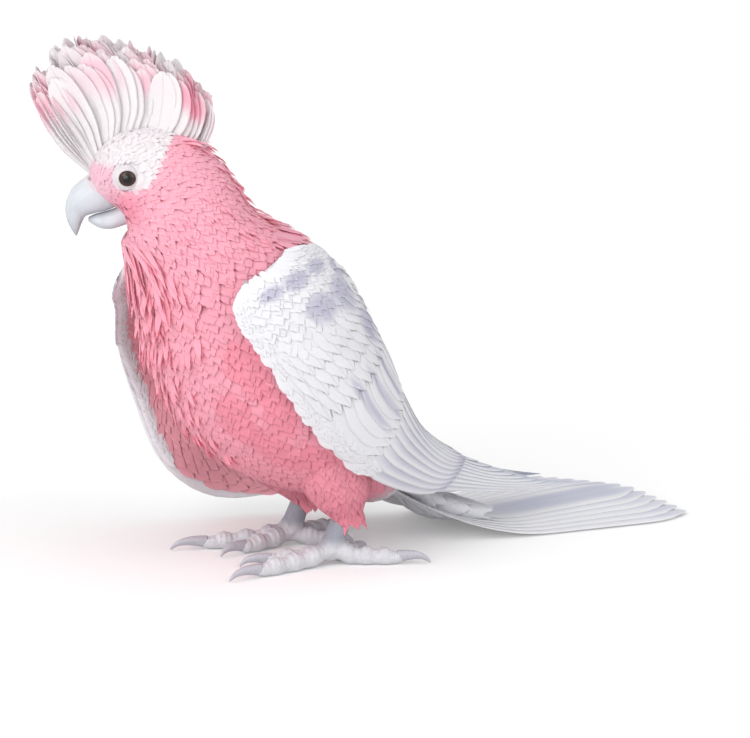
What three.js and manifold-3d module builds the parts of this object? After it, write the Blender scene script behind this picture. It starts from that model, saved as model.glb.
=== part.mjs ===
// A galah, the rose-breasted cockatoo, life size. It stands upright on a flat floor with its tail
// laid on the floor behind it, its head bowed and turned to its right, and its crest raised. The left
// wing is folded, and the right wing is lifted off the body like a flap, so its lining shows.
// Millimetres, +Z up. The bird faces -Y, its left side is +X, and the floor is Z = 0.
import * as THREE from "three";
import { LoftGeometry } from "three/addons/geometries/LoftGeometry.js";
import { mergeVertices } from "three/addons/utils/BufferGeometryUtils.js";
import Module from "manifold-3d";

const wasm = await Module();
wasm.setup();

// ---------------------------------------------------------------- driving dimensions

const ORIGIN_SHIFT = { x: 19.2, y: -32.7 }; // puts the origin under the middle of the whole bird
const CUT_GAP = 0.3; // between neighbouring pieces

const BODY_SIDES = 18;
const RINGS_PER_SPAN = 2;
const NECK_AXIS_Y = -60; // the head turns about an upright line through here
const HEAD_TURN = 40; // degrees, to the bird's right
const HEAD = { y: -88, z: 162 }; // between the eyes, before the turn
const EYE = { radius: 5.9, side: 15.2, up: 0.8 };

// The tail: its feathers run down from the root over the first share fallen of their length and then
// lie on the floor, spread by some degrees in all, the middle ones stacked over the outer ones.
const TAIL = {
  feathers: 12,
  length: 150,
  shorter: 0.9, // for each step away from the middle
  spread: 30,
  rootY: 29,
  rootZ: 25,
  rootGap: 1.7,
  restZ: 0.45,
  stack: 0.42,
  fallen: 0.5,
  thick: 1.7,
  rootHalf: 4.5,
  half: 12.5,
  tipHalf: 6,
};
const FEET = {
  left: { side: 1, x: 19, y: -11, turn: -12 },
  right: { side: -1, x: -19, y: -2, turn: -15 },
};

const FEATHER_PINK = new THREE.MeshStandardMaterial({ color: 0xf2a0b0, roughness: 0.85 });
const FEATHER_GREY = new THREE.MeshStandardMaterial({ color: 0xd4d4de, roughness: 0.8 });
const FEATHER_WHITE = new THREE.MeshStandardMaterial({ color: 0xf6eef0, roughness: 0.85 });
const BILL_HORN = new THREE.MeshStandardMaterial({ color: 0xd9dbe0, roughness: 0.45 });
const LEG_SKIN = new THREE.MeshStandardMaterial({ color: 0x9a9fab, roughness: 0.7 });
const CLAW_HORN = new THREE.MeshStandardMaterial({ color: 0xb4b2ba, roughness: 0.4 });
const EYE_DARK = new THREE.MeshStandardMaterial({ color: 0x1a1410, roughness: 0.05 });

// The body as rings from the tail's root to the bill. lean is the way of travel above the horizontal,
// half is the half width, back and front reach from the ring's middle to the back and to the belly,
// and turn is how far the ring has turned with the head.
const BODY = [
  { at: "tail root", y: 36, z: 26, lean: 10, half: 13, back: 6, front: 6, turn: 0 },
  { at: "rump", y: 23, z: 31, lean: 20, half: 24, back: 13, front: 13, turn: 0 },
  { at: "vent", y: 8, z: 41, lean: 34, half: 33, back: 23, front: 20, turn: 0 },
  { at: "belly", y: -10, z: 58, lean: 46, half: 41, back: 33, front: 33, turn: 0 },
  { at: "middle", y: -25, z: 80, lean: 53, half: 45, back: 37.5, front: 43, turn: 0 },
  { at: "breast", y: -36.5, z: 102, lean: 58, half: 45, back: 36.5, front: 46, turn: 0 },
  { at: "shoulder", y: -49, z: 122, lean: 62, half: 39, back: 30.5, front: 40, turn: 3 },
  { at: "neck", y: -62, z: 139, lean: 64, half: 30.5, back: 23, front: 30, turn: 12 },
  { at: "nape", y: -68, z: 152, lean: 55, half: 26, back: 21.5, front: 30, turn: 26 },
  { at: "hind crown", y: -77.5, z: 160, lean: 30, half: 23, back: 21.5, front: 26, turn: 36 },
  { at: "eyes", y: -88, z: 162, lean: 4, half: 20, back: 20.5, front: 21.5, turn: HEAD_TURN },
  { at: "lores", y: -95, z: 160.5, lean: -18, half: 15.5, back: 15.5, front: 15.5, turn: HEAD_TURN },
  { at: "bill base", y: -99.5, z: 156.5, lean: -35, half: 9.5, back: 8.5, front: 8.5, turn: HEAD_TURN },
  { at: "inside the bill", y: -101.5, z: 155, lean: -40, half: 5, back: 4, front: 4, turn: HEAD_TURN },
];
const [VENT_RING, SHOULDER_RING, NAPE_RING] = [1.7, 6.3, 8.3];

// The wings as arcs over the body, from the wrist to the tip. lean is as on the body, side and top
// are the half width and height of the arc's ellipse, and it runs from the angle upper to the angle
// lower, counted from the top. thick is its greatest thickness. The right wing is spread by a factor
// from its upper edge, and lifted about that edge by some degrees.
const WING = [
  { at: "wrist", y: -60, z: 129, lean: 62, side: 40.5, top: 36, upper: 68, lower: 110, thick: 5 },
  { at: "shoulder", y: -55, z: 122, lean: 61, side: 45.5, top: 37.5, upper: 44, lower: 123, thick: 8 },
  { at: "elbow", y: -45.5, z: 110.5, lean: 58, side: 50, top: 39.5, upper: 24, lower: 126, thick: 9 },
  { at: "median coverts", y: -31, z: 90, lean: 55, side: 51.5, top: 41, upper: 14, lower: 124, thick: 8.5 },
  { at: "greater coverts", y: -15, z: 69, lean: 50, side: 49, top: 40, upper: 10, lower: 122, thick: 7.5 },
  { at: "secondaries", y: 5, z: 48.5, lean: 40, side: 42.5, top: 34, upper: 8, lower: 116, thick: 6 },
  { at: "tertials", y: 33, z: 32, lean: 24, side: 33, top: 23, upper: 8, lower: 107, thick: 4.5 },
  { at: "primaries", y: 68, z: 21.5, lean: 12, side: 23.5, top: 13.5, upper: 9, lower: 99, thick: 3.2 },
  { at: "wing tip", y: 104, z: 14.5, lean: 9, side: 16.5, top: 8.5, upper: 12, lower: 90, thick: 2.4 },
  { at: "last primary", y: 135, z: 10, lean: 7, side: 12.5, top: 5.5, upper: 30, lower: 62, thick: 1.4 },
];
const RIGHT_WING = {
  spread: [1, 1.03, 1.08, 1.3, 1.48, 1.76, 2.1, 1.65, 1.25, 1],
  lift: [3, 8, 18, 26, 27, 16, 12, 6, 4, 3],
};
const [WRIST_CUT, HAND_CUT] = [4.35, 6.35]; // arcs between coverts, secondaries and primaries
const WING_EDGE_THICK = 0.8;
const WING_STEPS_ACROSS = 7;

// ---------------------------------------------------------------- small tools

const radians = THREE.MathUtils.degToRad;
const mix = THREE.MathUtils.lerp;

/** The value of one field at ring number t, on a Catmull-Rom curve through the rings. */
function along(rings, field, t) {
  const last = rings.length - 1;
  const first = Math.min(Math.floor(t), last - 1);
  const share = t - first;
  const [before, from, to, after] = [-1, 0, 1, 2].map(
    (step) => rings[Math.min(Math.max(first + step, 0), last)][field],
  );
  const bend = 2 * before - 5 * from + 4 * to - after;
  const twist = 3 * (from - to) + after - before;
  return from + 0.5 * share * (to - before + share * (bend + share * twist));
}

/** A closed geometry as a solid, with only its positions kept. */
function solidOf(geometry) {
  const bare = new THREE.BufferGeometry();
  bare.setAttribute("position", geometry.attributes.position);
  bare.setIndex(geometry.index);
  const merged = mergeVertices(bare, 1e-4);
  const vertProperties = merged.attributes.position.array;
  const triVerts = new Uint32Array(merged.index.array);
  return new wasm.Manifold(new wasm.Mesh({ numProp: 3, vertProperties, triVerts }));
}

/** The middle of a ring of points. */
function middleOf(points) {
  const sum = points.reduce((total, point) => total.add(point), new THREE.Vector3());
  return sum.divideScalar(points.length);
}

/** A solid skinned over rings of points and capped, whichever way the rings wind. */
function loft(sections) {
  const middle = middleOf(sections[0]);
  const onward = middleOf(sections[1]).sub(middle);
  const facing = new THREE.Vector3();
  sections[0].forEach((point, i, points) => {
    const next = points[(i + 1) % points.length];
    facing.add(point.clone().sub(middle).cross(next.clone().sub(middle)));
  });
  const wound = facing.dot(onward) > 0 ? sections : sections.map((points) => [...points].reverse());
  return solidOf(new LoftGeometry(wound, { capStart: true, capEnd: true }));
}

/** Points round a ring: centre + across * sin + over * cos. */
function ring(centre, across, over, sides) {
  return Array.from({ length: sides }, (_, i) => {
    const angle = (2 * Math.PI * (i + 0.5)) / sides;
    return centre
      .clone()
      .addScaledVector(across, Math.sin(angle))
      .addScaledVector(over, Math.cos(angle));
  });
}

/** A named mesh of a solid. */
function meshOf(name, solid, material) {
  const { numProp, numVert, vertProperties, triVerts } = solid.getMesh();
  const positions = new Float32Array(numVert * 3);
  for (let i = 0; i < numVert; i++) {
    positions.set(vertProperties.subarray(i * numProp, i * numProp + 3), i * 3);
  }
  const geometry = new THREE.BufferGeometry();
  geometry.setAttribute("position", new THREE.BufferAttribute(positions, 3));
  geometry.setIndex(new THREE.BufferAttribute(triVerts, 1));
  geometry.computeVertexNormals();
  const mesh = new THREE.Mesh(geometry, material);
  mesh.name = name;
  return mesh;
}

/** What is above the floor. */
const onFloor = (solid) => solid.trimByPlane([0, 0, 1], 0);

/** The part of a solid beyond a plane, where normal points to the part that is kept. */
function beyond(solid, normal, point) {
  return solid.trimByPlane(normal.toArray(), normal.dot(point) + CUT_GAP / 2);
}

// ---------------------------------------------------------------- body: trunk, rump, neck, head

/** Turns a point about the neck's upright line, to the bird's right. */
function turned(point, degrees) {
  const axis = new THREE.Vector3(0, NECK_AXIS_Y, 0);
  return point.sub(axis).applyAxisAngle(new THREE.Vector3(0, 0, 1), -radians(degrees)).add(axis);
}

/** A point on the body: at ring t, and at an angle round it from the back to the left side. */
function bodyPoint(t, angle, grow = 0) {
  const value = (field) => along(BODY, field, t);
  const lean = radians(value("lean"));
  const up = Math.cos(angle);
  const reach = (up > 0 ? value("back") : value("front")) + grow;
  const point = new THREE.Vector3(
    (value("half") + grow) * Math.sin(angle),
    value("y") + Math.sin(lean) * reach * up,
    value("z") + Math.cos(lean) * reach * up,
  );
  return turned(point, value("turn"));
}

function bodySolid(grow = 0) {
  const sections = [];
  const last = (BODY.length - 1) * RINGS_PER_SPAN;
  for (let i = 0; i <= last; i++) {
    const t = i / RINGS_PER_SPAN;
    const angles = Array.from({ length: BODY_SIDES }, (_, k) => (2 * Math.PI * k) / BODY_SIDES);
    sections.push(angles.map((angle) => bodyPoint(t, angle, grow)));
  }
  return loft(sections);
}

/** The plane across the body at ring t: a point in it, and the way towards the head. */
function bodyPlane(t) {
  const [back, belly, left] = [bodyPoint(t, 0), bodyPoint(t, Math.PI), bodyPoint(t, Math.PI / 2)];
  const point = back.clone().add(belly).multiplyScalar(0.5);
  const ahead = left.clone().sub(point).cross(back.clone().sub(point)).normalize();
  const next = bodyPoint(t + 0.1, 0).add(bodyPoint(t + 0.1, Math.PI)).multiplyScalar(0.5);
  if (ahead.dot(next.sub(point)) < 0) ahead.negate();
  return { point, ahead };
}

/** The stretch of a solid between two planes across the body. */
function stretch(solid, from, to) {
  let kept = solid;
  if (from !== null) {
    const { point, ahead } = bodyPlane(from);
    kept = beyond(kept, ahead, point);
  }
  if (to !== null) {
    const { point, ahead } = bodyPlane(to);
    kept = beyond(kept, ahead.negate(), point);
  }
  return kept;
}

// ---------------------------------------------------------------- wings

const leftRings = WING.map((arc) => ({ ...arc, spread: 1, lift: 0 }));
const rightRings = WING.map((arc, i) => ({
  ...arc,
  spread: RIGHT_WING.spread[i],
  lift: RIGHT_WING.lift[i],
}));

/** A point on a left wing: t along it, v across it from the upper edge, on its outer or inner face. */
function wingPoint(rings, t, v, inner) {
  const value = (field) => along(rings, field, t);
  const [upper, lean, lift] = ["upper", "lean", "lift"].map((field) => radians(value(field)));
  const angle = mix(upper, radians(value("lower")), v);
  const edge = new THREE.Vector2(value("side") * Math.sin(upper), value("top") * Math.cos(upper));
  const point = new THREE.Vector2(value("side") * Math.sin(angle), value("top") * Math.cos(angle));
  point.sub(edge).multiplyScalar(value("spread"));
  const fullness = Math.sqrt(Math.max(Math.sin(Math.PI * v), 0));
  const depth = inner ? mix(WING_EDGE_THICK, value("thick"), fullness) : 0;
  point.x -= depth * Math.sin(angle);
  point.y -= depth * Math.cos(angle);
  point.rotateAround(new THREE.Vector2(), lift).add(edge);
  return new THREE.Vector3(
    point.x,
    value("y") + Math.sin(lean) * point.y,
    value("z") + Math.cos(lean) * point.y,
  );
}

function wingSolid(rings) {
  const sections = [];
  const last = (rings.length - 1) * RINGS_PER_SPAN;
  for (let i = 0; i <= last; i++) {
    const t = i / RINGS_PER_SPAN;
    const steps = Array.from({ length: WING_STEPS_ACROSS + 1 }, (_, k) => k / WING_STEPS_ACROSS);
    const outer = steps.map((v) => wingPoint(rings, t, v, false));
    const inner = steps.reverse().map((v) => wingPoint(rings, t, v, true));
    sections.push([...outer, ...inner]);
  }
  return loft(sections);
}

/** The plane across a wing at arc t. */
function wingPlane(t) {
  const lean = radians(along(WING, "lean", t));
  return {
    point: new THREE.Vector3(0, along(WING, "y", t), along(WING, "z", t)),
    ahead: new THREE.Vector3(0, -Math.cos(lean), Math.sin(lean)),
  };
}

/** A wing's three lengths: coverts over the arm, secondaries, and primaries. */
function wingLengths(wing) {
  const [wrist, hand] = [wingPlane(WRIST_CUT), wingPlane(HAND_CUT)];
  const back = (plane) => plane.ahead.clone().negate();
  return {
    coverts: beyond(wing, wrist.ahead, wrist.point),
    secondaries: beyond(beyond(wing, back(wrist), wrist.point), hand.ahead, hand.point),
    primaries: beyond(wing, back(hand), hand.point),
  };
}

// ---------------------------------------------------------------- tail

/** One tail feather: a long blade that runs down from the rump and lies on the floor. */
function tailFeather(index) {
  const fromMiddle = index - (TAIL.feathers - 1) / 2;
  const bearing = radians((fromMiddle * TAIL.spread) / (TAIL.feathers - 1));
  const stack = TAIL.stack * (TAIL.feathers / 2 - Math.abs(fromMiddle));
  const length = TAIL.length - TAIL.shorter * Math.abs(fromMiddle);
  const shares = [0, 0.2, 0.45, 0.9, 1];
  const [stackedAt, widestAt] = [1 / 3, 0.6];
  const sections = shares.map((share) => {
    const run = share * length;
    const fall = Math.max(1 - share / TAIL.fallen, 0) ** 2;
    const centre = new THREE.Vector3(
      fromMiddle * TAIL.rootGap + run * Math.sin(bearing),
      TAIL.rootY + run * Math.cos(bearing),
      TAIL.restZ + stack * Math.min(share / stackedAt, 1) + (TAIL.rootZ - TAIL.restZ) * fall,
    );
    const widening = mix(TAIL.rootHalf, TAIL.half, Math.min(share / widestAt, 1));
    const half = share === 1 ? TAIL.tipHalf : widening;
    const across = new THREE.Vector3(Math.cos(bearing), -Math.sin(bearing), 0).multiplyScalar(half);
    return ring(centre, across, new THREE.Vector3(0, 0, TAIL.thick / 2), 6);
  });
  return loft(sections);
}

function tailSolid() {
  const blades = Array.from({ length: TAIL.feathers }, (_, index) => tailFeather(index));
  return onFloor(blades.reduce((fan, blade) => fan.add(blade)));
}

// ---------------------------------------------------------------- crest

// Crest feathers from the forehead to the hind crown: root ahead of and above the eye, angle above
// straight ahead at the root, how far it bends forwards from there, and length. Each bunch has the
// half widths of BUNCH at its root, past its middle and at its tip.
const BUNCH = { halves: [5, 4.8, 0.5], flat: 0.9 };
const CREST_ROW = { gap: 5.5, spread: 0.15, drop: 1.5, shorter: 0.1 }; // one row beside the next
const CREST = [
  { ahead: 13.5, up: 1.5, angle: 52, bend: -6, length: 47, beside: false },
  { ahead: 12.5, up: 6, angle: 67, bend: 3, length: 47, beside: true },
  { ahead: 10, up: 11, angle: 88, bend: 12, length: 49, beside: true },
  { ahead: 6, up: 14, angle: 97, bend: 14, length: 43, beside: true },
  { ahead: 0, up: 16, angle: 102, bend: 14, length: 39, beside: true },
  { ahead: -6, up: 16, angle: 109, bend: 14, length: 36, beside: true },
  { ahead: -12, up: 14.5, angle: 117, bend: 14, length: 32, beside: true },
  { ahead: -17, up: 11.5, angle: 123, bend: 14, length: 29, beside: true },
  { ahead: -21, up: 7, angle: 129, bend: 14, length: 26, beside: false },
];

/** One pointed bunch of crest feathers. row is -1, 0 or 1, from right to left. */
function crestBunch({ ahead, up, angle, bend, length }, row) {
  const shares = [0, 0.55, 1];
  const sections = shares.map((share, i) => {
    const half = BUNCH.halves[i];
    const bearing = radians(angle - bend * share);
    const run = share * length * (1 - CREST_ROW.shorter * Math.abs(row));
    const centre = new THREE.Vector3(
      row * (CREST_ROW.gap + CREST_ROW.spread * run),
      -(ahead + run * Math.cos(bearing)),
      up - CREST_ROW.drop * Math.abs(row) + run * Math.sin(bearing),
    );
    const fore = new THREE.Vector3(0, Math.sin(bearing), Math.cos(bearing)).multiplyScalar(half);
    return ring(centre, new THREE.Vector3(half * BUNCH.flat, 0, 0), fore, 5);
  });
  return loft(sections);
}

function crestSolid() {
  const middle = CREST.map((feather) => crestBunch(feather, 0));
  const beside = CREST.filter((feather) => feather.beside);
  const sides = beside.flatMap((feather) => [crestBunch(feather, -1), crestBunch(feather, 1)]);
  return [...middle, ...sides].reduce((crest, bunch) => crest.add(bunch));
}

// ---------------------------------------------------------------- bill and eyes, on the head

// Rings of the bill: the ridge and the cutting edge ahead of and above the eye, and the half width.
const UPPER_BILL = [
  { ridge: [14, 1.5], edge: [3, -9.5], half: 7.2 },
  { ridge: [18.2, -0.8], edge: [6.8, -12.6], half: 7.1 },
  { ridge: [22.6, -4], edge: [11, -14.3], half: 6.5 },
  { ridge: [25.4, -8.4], edge: [15.2, -15.2], half: 5.4 },
  { ridge: [26.5, -13.4], edge: [18.4, -16.4], half: 4.1 },
  { ridge: [25.8, -18], edge: [20, -19], half: 2.8 },
  { ridge: [24.2, -21.6], edge: [21.2, -22], half: 1.6 },
  { ridge: [22.7, -24], edge: [22.1, -24.2], half: 0.5 },
];
const LOWER_BILL = [
  { ridge: [2.5, -10], edge: [2.5, -19.6], half: 6.2 },
  { ridge: [6.5, -12.9], edge: [7.5, -21.2], half: 5.9 },
  { ridge: [10.8, -14.5], edge: [12, -21.2], half: 5.2 },
  { ridge: [14.7, -15.5], edge: [15.4, -19.6], half: 4 },
  { ridge: [17.2, -16.6], edge: [17.3, -18.2], half: 2.6 },
];

/** A bill's solid on the head's own axes: ahead is -Y. */
function billSolid(rings, grow = 0) {
  const sections = rings.map(({ ridge, edge, half }) => {
    const top = new THREE.Vector3(0, -ridge[0], ridge[1]);
    const bottom = new THREE.Vector3(0, -edge[0], edge[1]);
    const centre = top.clone().add(bottom).multiplyScalar(0.5);
    const over = top.sub(centre);
    over.setLength(over.length() + grow);
    return ring(centre, new THREE.Vector3(half + grow, 0, 0), over, 10);
  });
  return loft(sections);
}

function eyeBall(side, grow = 0) {
  const ball = new THREE.SphereGeometry(EYE.radius + grow, 10, 7);
  return solidOf(ball.translate(side * EYE.side, 0, EYE.up));
}

// ---------------------------------------------------------------- legs and feet

// Digits: bearing from straight ahead, outwards; length of flesh; joints; and length of claw.
const TOES = {
  inner_front: { bearing: -17, length: 27, joints: 3, claw: 10.5 },
  outer_front: { bearing: 11, length: 38, joints: 4, claw: 13 },
  inner_back: { bearing: -152, length: 18, joints: 2, claw: 9 },
  outer_back: { bearing: 152, length: 30, joints: 4, claw: 11 },
};
// The shank is a column from the heel down to the hub of the toes, and swell is its radius at the
// shares of its length that shankSolid uses, over SHANK.radius.
const SHANK = {
  heelY: 9,
  heelZ: 27,
  footY: -0.5,
  footZ: 1.8,
  radius: 4.4,
  swell: [1.15, 0.92, 0.97, 1.15, 0.6],
};
// Every toe is thicker at its joints by the knuckle, rises to the hub at its root, and is sunk into
// the floor by a little, which gives it its flats.
const TOE = {
  rootRadius: 4.1,
  tipRadius: 2.9,
  knuckle: 0.35,
  rise: 3.4,
  sunk: 0.45,
  tip: 1.4,
  tipShare: 0.6,
};
const CLAW = { rootRadius: 2.1, tipRadius: 0.35, inside: 2.5, bend: 1.35, crown: 0.9, tipZ: 0.55 };
const THIGH = { radii: [17, 17.5, 12.5, 6.5], topX: 21, topY: -16, topZ: 60, heelZ: 19.5 };

/** The shank: a short column that leans forwards from the heel to the hub of the toes. */
function shankSolid(grow = 0) {
  const shares = [0, 0.3, 0.6, 0.85, 1];
  const uprightAt = 0.87;
  const sections = shares.map((share, i) => {
    const radius = SHANK.radius * SHANK.swell[i] + grow;
    const centre = new THREE.Vector3(
      0,
      mix(SHANK.heelY, SHANK.footY, Math.min(share / uprightAt, 1)),
      mix(SHANK.heelZ + grow, SHANK.footZ - grow, share),
    );
    return ring(centre, new THREE.Vector3(radius, 0, 0), new THREE.Vector3(0, radius * 1.1, 0), 10);
  });
  return loft(sections);
}

/** How far along the toe, how high its middle is and how thick it is, at a share of its length. */
function toeAt(toe, share) {
  const knuckle = TOE.knuckle * Math.cos(2 * Math.PI * toe.joints * share);
  const radius = mix(TOE.rootRadius, TOE.tipRadius, share) + knuckle;
  const levelAt = 0.45;
  const rise = TOE.rise * Math.max(1 - share / levelAt, 0) ** 2;
  return { run: share * toe.length, height: radius - TOE.sunk + rise, radius };
}

function toeSolid(toe, grow = 0) {
  const steps = toe.joints * 2;
  const sections = Array.from({ length: steps + 1 }, (_, i) => {
    const { run, height, radius } = toeAt(toe, i / steps);
    const end = i === steps ? TOE.tipShare : 1;
    const centre = new THREE.Vector3(0, -run - (i === steps ? TOE.tip : 0), height);
    const across = new THREE.Vector3(radius * end + grow, 0, 0);
    return ring(centre, across, new THREE.Vector3(0, 0, radius * end + grow), 7);
  });
  return loft(sections);
}

/** A claw, which leaves the toe's end level and bends down to the floor. */
function clawSolid(toe) {
  const { run, height } = toeAt(toe, 1);
  const shares = [0, 0.3, 0.6, 0.85, 1];
  const sections = shares.map((share) => {
    const radius = mix(CLAW.rootRadius, CLAW.tipRadius, share ** 1.2);
    const reach = (toe.claw + CLAW.inside) * Math.sin(share * CLAW.bend) / Math.sin(CLAW.bend);
    const centre = new THREE.Vector3(
      0,
      -(run - CLAW.inside + reach),
      mix(height + 0.6, CLAW.tipZ, share ** 2.2) + CLAW.crown * Math.sin(Math.PI * share),
    );
    const slope = share * 0.9;
    const over = new THREE.Vector3(0, -Math.sin(slope), Math.cos(slope)).multiplyScalar(radius * 1.25);
    return ring(centre, new THREE.Vector3(radius, 0, 0), over, 6);
  });
  return loft(sections);
}

/** Turns a solid of the leg to the foot's way and sets it where the foot stands. */
function atFoot(solid, foot, bearing = 0) {
  const turn = foot.side * bearing + foot.turn;
  return onFloor(solid.rotate([0, 0, turn]).translate([foot.x, foot.y, 0]));
}

/** A feathered thigh, from inside the belly to just above the heel. */
function thighSolid(foot) {
  const shares = [0, 0.4, 0.75, 1];
  const heel = new THREE.Vector3(0, SHANK.heelY, 0)
    .applyAxisAngle(new THREE.Vector3(0, 0, 1), radians(foot.turn))
    .add(new THREE.Vector3(foot.x, foot.y, 0));
  const sections = shares.map((share, i) => {
    const centre = new THREE.Vector3(
      mix(foot.side * THIGH.topX, heel.x, share),
      mix(THIGH.topY, heel.y - 1, share),
      mix(THIGH.topZ, THIGH.heelZ, share),
    );
    const radius = THIGH.radii[i];
    const across = new THREE.Vector3(radius * 0.9, 0, 0);
    return ring(centre, across, new THREE.Vector3(0, radius * 1.05, radius * 0.3), 12);
  });
  return loft(sections);
}

/** The pieces of one leg, with the body and its clearance cut away from them. */
function legGroup(word, foot, clearance) {
  const group = new THREE.Group();
  const add = (name, solid, material) => group.add(meshOf(`${name}_${word}`, solid, material));
  let placed = atFoot(shankSolid(CUT_GAP), foot);
  add("thigh", thighSolid(foot).subtract(clearance).subtract(placed), FEATHER_PINK);
  add("shank", atFoot(shankSolid(), foot).subtract(clearance), LEG_SKIN);
  for (const [digit, toe] of Object.entries(TOES)) {
    add(`toe_${digit}`, atFoot(toeSolid(toe), foot, toe.bearing).subtract(placed), LEG_SKIN);
    const claw = clawSolid(toe).subtract(toeSolid(toe, CUT_GAP));
    add(`claw_${digit}`, atFoot(claw, foot, toe.bearing), CLAW_HORN);
    placed = placed.add(atFoot(toeSolid(toe, CUT_GAP), foot, toe.bearing));
  }
  return group;
}

// ---------------------------------------------------------------- the bird put together

const galah = new THREE.Group();
galah.position.set(ORIGIN_SHIFT.x, ORIGIN_SHIFT.y, 0);

const body = bodySolid();
const bodyClearance = bodySolid(CUT_GAP);

// What is fixed to the head is made on the head's own axes, and its group turns it into place.
const headGroup = new THREE.Group();
const headPlace = turned(new THREE.Vector3(0, HEAD.y, HEAD.z), HEAD_TURN);
headGroup.position.copy(headPlace);
headGroup.rotation.z = -radians(HEAD_TURN);
const intoHead = (solid) => solid.translate(headPlace.clone().negate().toArray()).rotate([0, 0, HEAD_TURN]);
const headClearance = intoHead(stretch(bodyClearance, SHOULDER_RING, null));

const upperBill = billSolid(UPPER_BILL).subtract(headClearance);
const upperClearance = billSolid(UPPER_BILL, CUT_GAP);
const lowerBill = billSolid(LOWER_BILL).subtract(headClearance).subtract(upperClearance);
headGroup.add(meshOf("bill_upper", upperBill, BILL_HORN));
headGroup.add(meshOf("bill_lower", lowerBill, BILL_HORN));
headGroup.add(meshOf("eye_left", eyeBall(1), EYE_DARK));
headGroup.add(meshOf("eye_right", eyeBall(-1), EYE_DARK));
const crest = crestSolid().subtract(headClearance).subtract(upperClearance);
headGroup.add(meshOf("crest", crest, FEATHER_WHITE));
const sockets = eyeBall(1, CUT_GAP).add(eyeBall(-1, CUT_GAP));
const head = intoHead(stretch(body, NAPE_RING, null)).subtract(sockets);
headGroup.add(meshOf("head", head, FEATHER_PINK));
galah.add(headGroup);

galah.add(meshOf("neck", stretch(body, SHOULDER_RING, NAPE_RING), FEATHER_PINK));
galah.add(meshOf("trunk", stretch(body, VENT_RING, SHOULDER_RING), FEATHER_PINK));

const tail = tailSolid();
const rump = stretch(body, null, VENT_RING);
galah.add(meshOf("rump", rump, FEATHER_WHITE));
galah.add(meshOf("tail", tail.subtract(bodyClearance), FEATHER_GREY));

const leftLengths = wingLengths(wingSolid(leftRings));
const rightLengths = wingLengths(wingSolid(rightRings).mirror([1, 0, 0]));
for (const [word, lengths] of [["left", leftLengths], ["right", rightLengths]]) {
  for (const [length, solid] of Object.entries(lengths)) {
    galah.add(meshOf(`wing_${word}_${length}`, solid.subtract(bodyClearance), FEATHER_GREY));
  }
}

for (const [word, foot] of Object.entries(FEET)) galah.add(legGroup(word, foot, bodyClearance));

export default galah;
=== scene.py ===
# A galah, the rose-breasted cockatoo, life size. It stands on a flat floor with its tail laid behind it,
# its head bowed and turned to its right, its crest raised, its left wing folded and its right wing held
# off its side. Metres, +Z up: the bird faces -Y and its left side is +X.
import math

import bmesh
import bpy
import numpy as np
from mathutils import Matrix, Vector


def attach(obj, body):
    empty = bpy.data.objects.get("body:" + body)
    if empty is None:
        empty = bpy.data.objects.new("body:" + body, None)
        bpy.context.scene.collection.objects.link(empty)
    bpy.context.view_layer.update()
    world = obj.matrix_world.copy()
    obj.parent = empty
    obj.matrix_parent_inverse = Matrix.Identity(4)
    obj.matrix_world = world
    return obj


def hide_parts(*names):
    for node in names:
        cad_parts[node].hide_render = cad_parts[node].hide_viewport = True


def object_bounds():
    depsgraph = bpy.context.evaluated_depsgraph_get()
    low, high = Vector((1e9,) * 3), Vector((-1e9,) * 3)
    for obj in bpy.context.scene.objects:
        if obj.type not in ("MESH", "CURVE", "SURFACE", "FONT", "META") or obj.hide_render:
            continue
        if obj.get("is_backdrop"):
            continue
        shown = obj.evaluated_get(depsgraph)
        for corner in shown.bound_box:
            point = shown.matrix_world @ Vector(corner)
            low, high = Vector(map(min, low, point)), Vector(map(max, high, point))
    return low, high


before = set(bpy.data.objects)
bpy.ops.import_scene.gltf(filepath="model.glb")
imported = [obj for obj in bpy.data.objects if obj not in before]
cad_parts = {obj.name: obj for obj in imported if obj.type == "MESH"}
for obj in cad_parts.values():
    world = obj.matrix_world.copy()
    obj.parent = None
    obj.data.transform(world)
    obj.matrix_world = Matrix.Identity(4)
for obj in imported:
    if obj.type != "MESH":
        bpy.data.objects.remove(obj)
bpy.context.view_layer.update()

MM = 0.001

# ---------------------------------------------------------------- camera
# A long lens, a little above the bird and to the left of the way it faces, so that the head is in
# profile and the left side, the breast and the lining of the right wing all show.
CAMERA_AZIMUTH = math.radians(50)
CAMERA_ELEVATION = math.radians(10)
CAMERA_DISTANCE = 1.25
LENS = 141  # millimetres, on the 36 mm sensor
AIM_ACROSS = 9.5 * MM
AIM_HEIGHT = 71 * MM

toward = np.array([
    math.sin(CAMERA_AZIMUTH) * math.cos(CAMERA_ELEVATION),
    -math.cos(CAMERA_AZIMUTH) * math.cos(CAMERA_ELEVATION),
    math.sin(CAMERA_ELEVATION),
])
across = np.array([math.cos(CAMERA_AZIMUTH), math.sin(CAMERA_AZIMUTH), 0])
camera = bpy.data.objects.new("camera", bpy.data.cameras.new("camera"))
bpy.context.scene.collection.objects.link(camera)
camera.data.lens = LENS
camera.data.sensor_width = 36
camera.data.clip_end = 30
camera.location = across * AIM_ACROSS + np.array([0, 0, AIM_HEIGHT]) + toward * CAMERA_DISTANCE
camera.rotation_euler = (math.pi / 2 - CAMERA_ELEVATION, 0, CAMERA_AZIMUTH)
bpy.context.scene.camera = camera

# ---------------------------------------------------------------- floor, lamps and world
# A wide pale floor, large soft lamps up at the camera's left and right and low beside it, and an even
# pale surround. The camera sees floor and surround as white, with the bird's soft shadow.
FLOOR_HALF = 8.0
FLOOR_DROP = 0.2 * MM  # keeps the floor just clear of the toes
FLOOR_ALBEDO = 0.8
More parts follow.
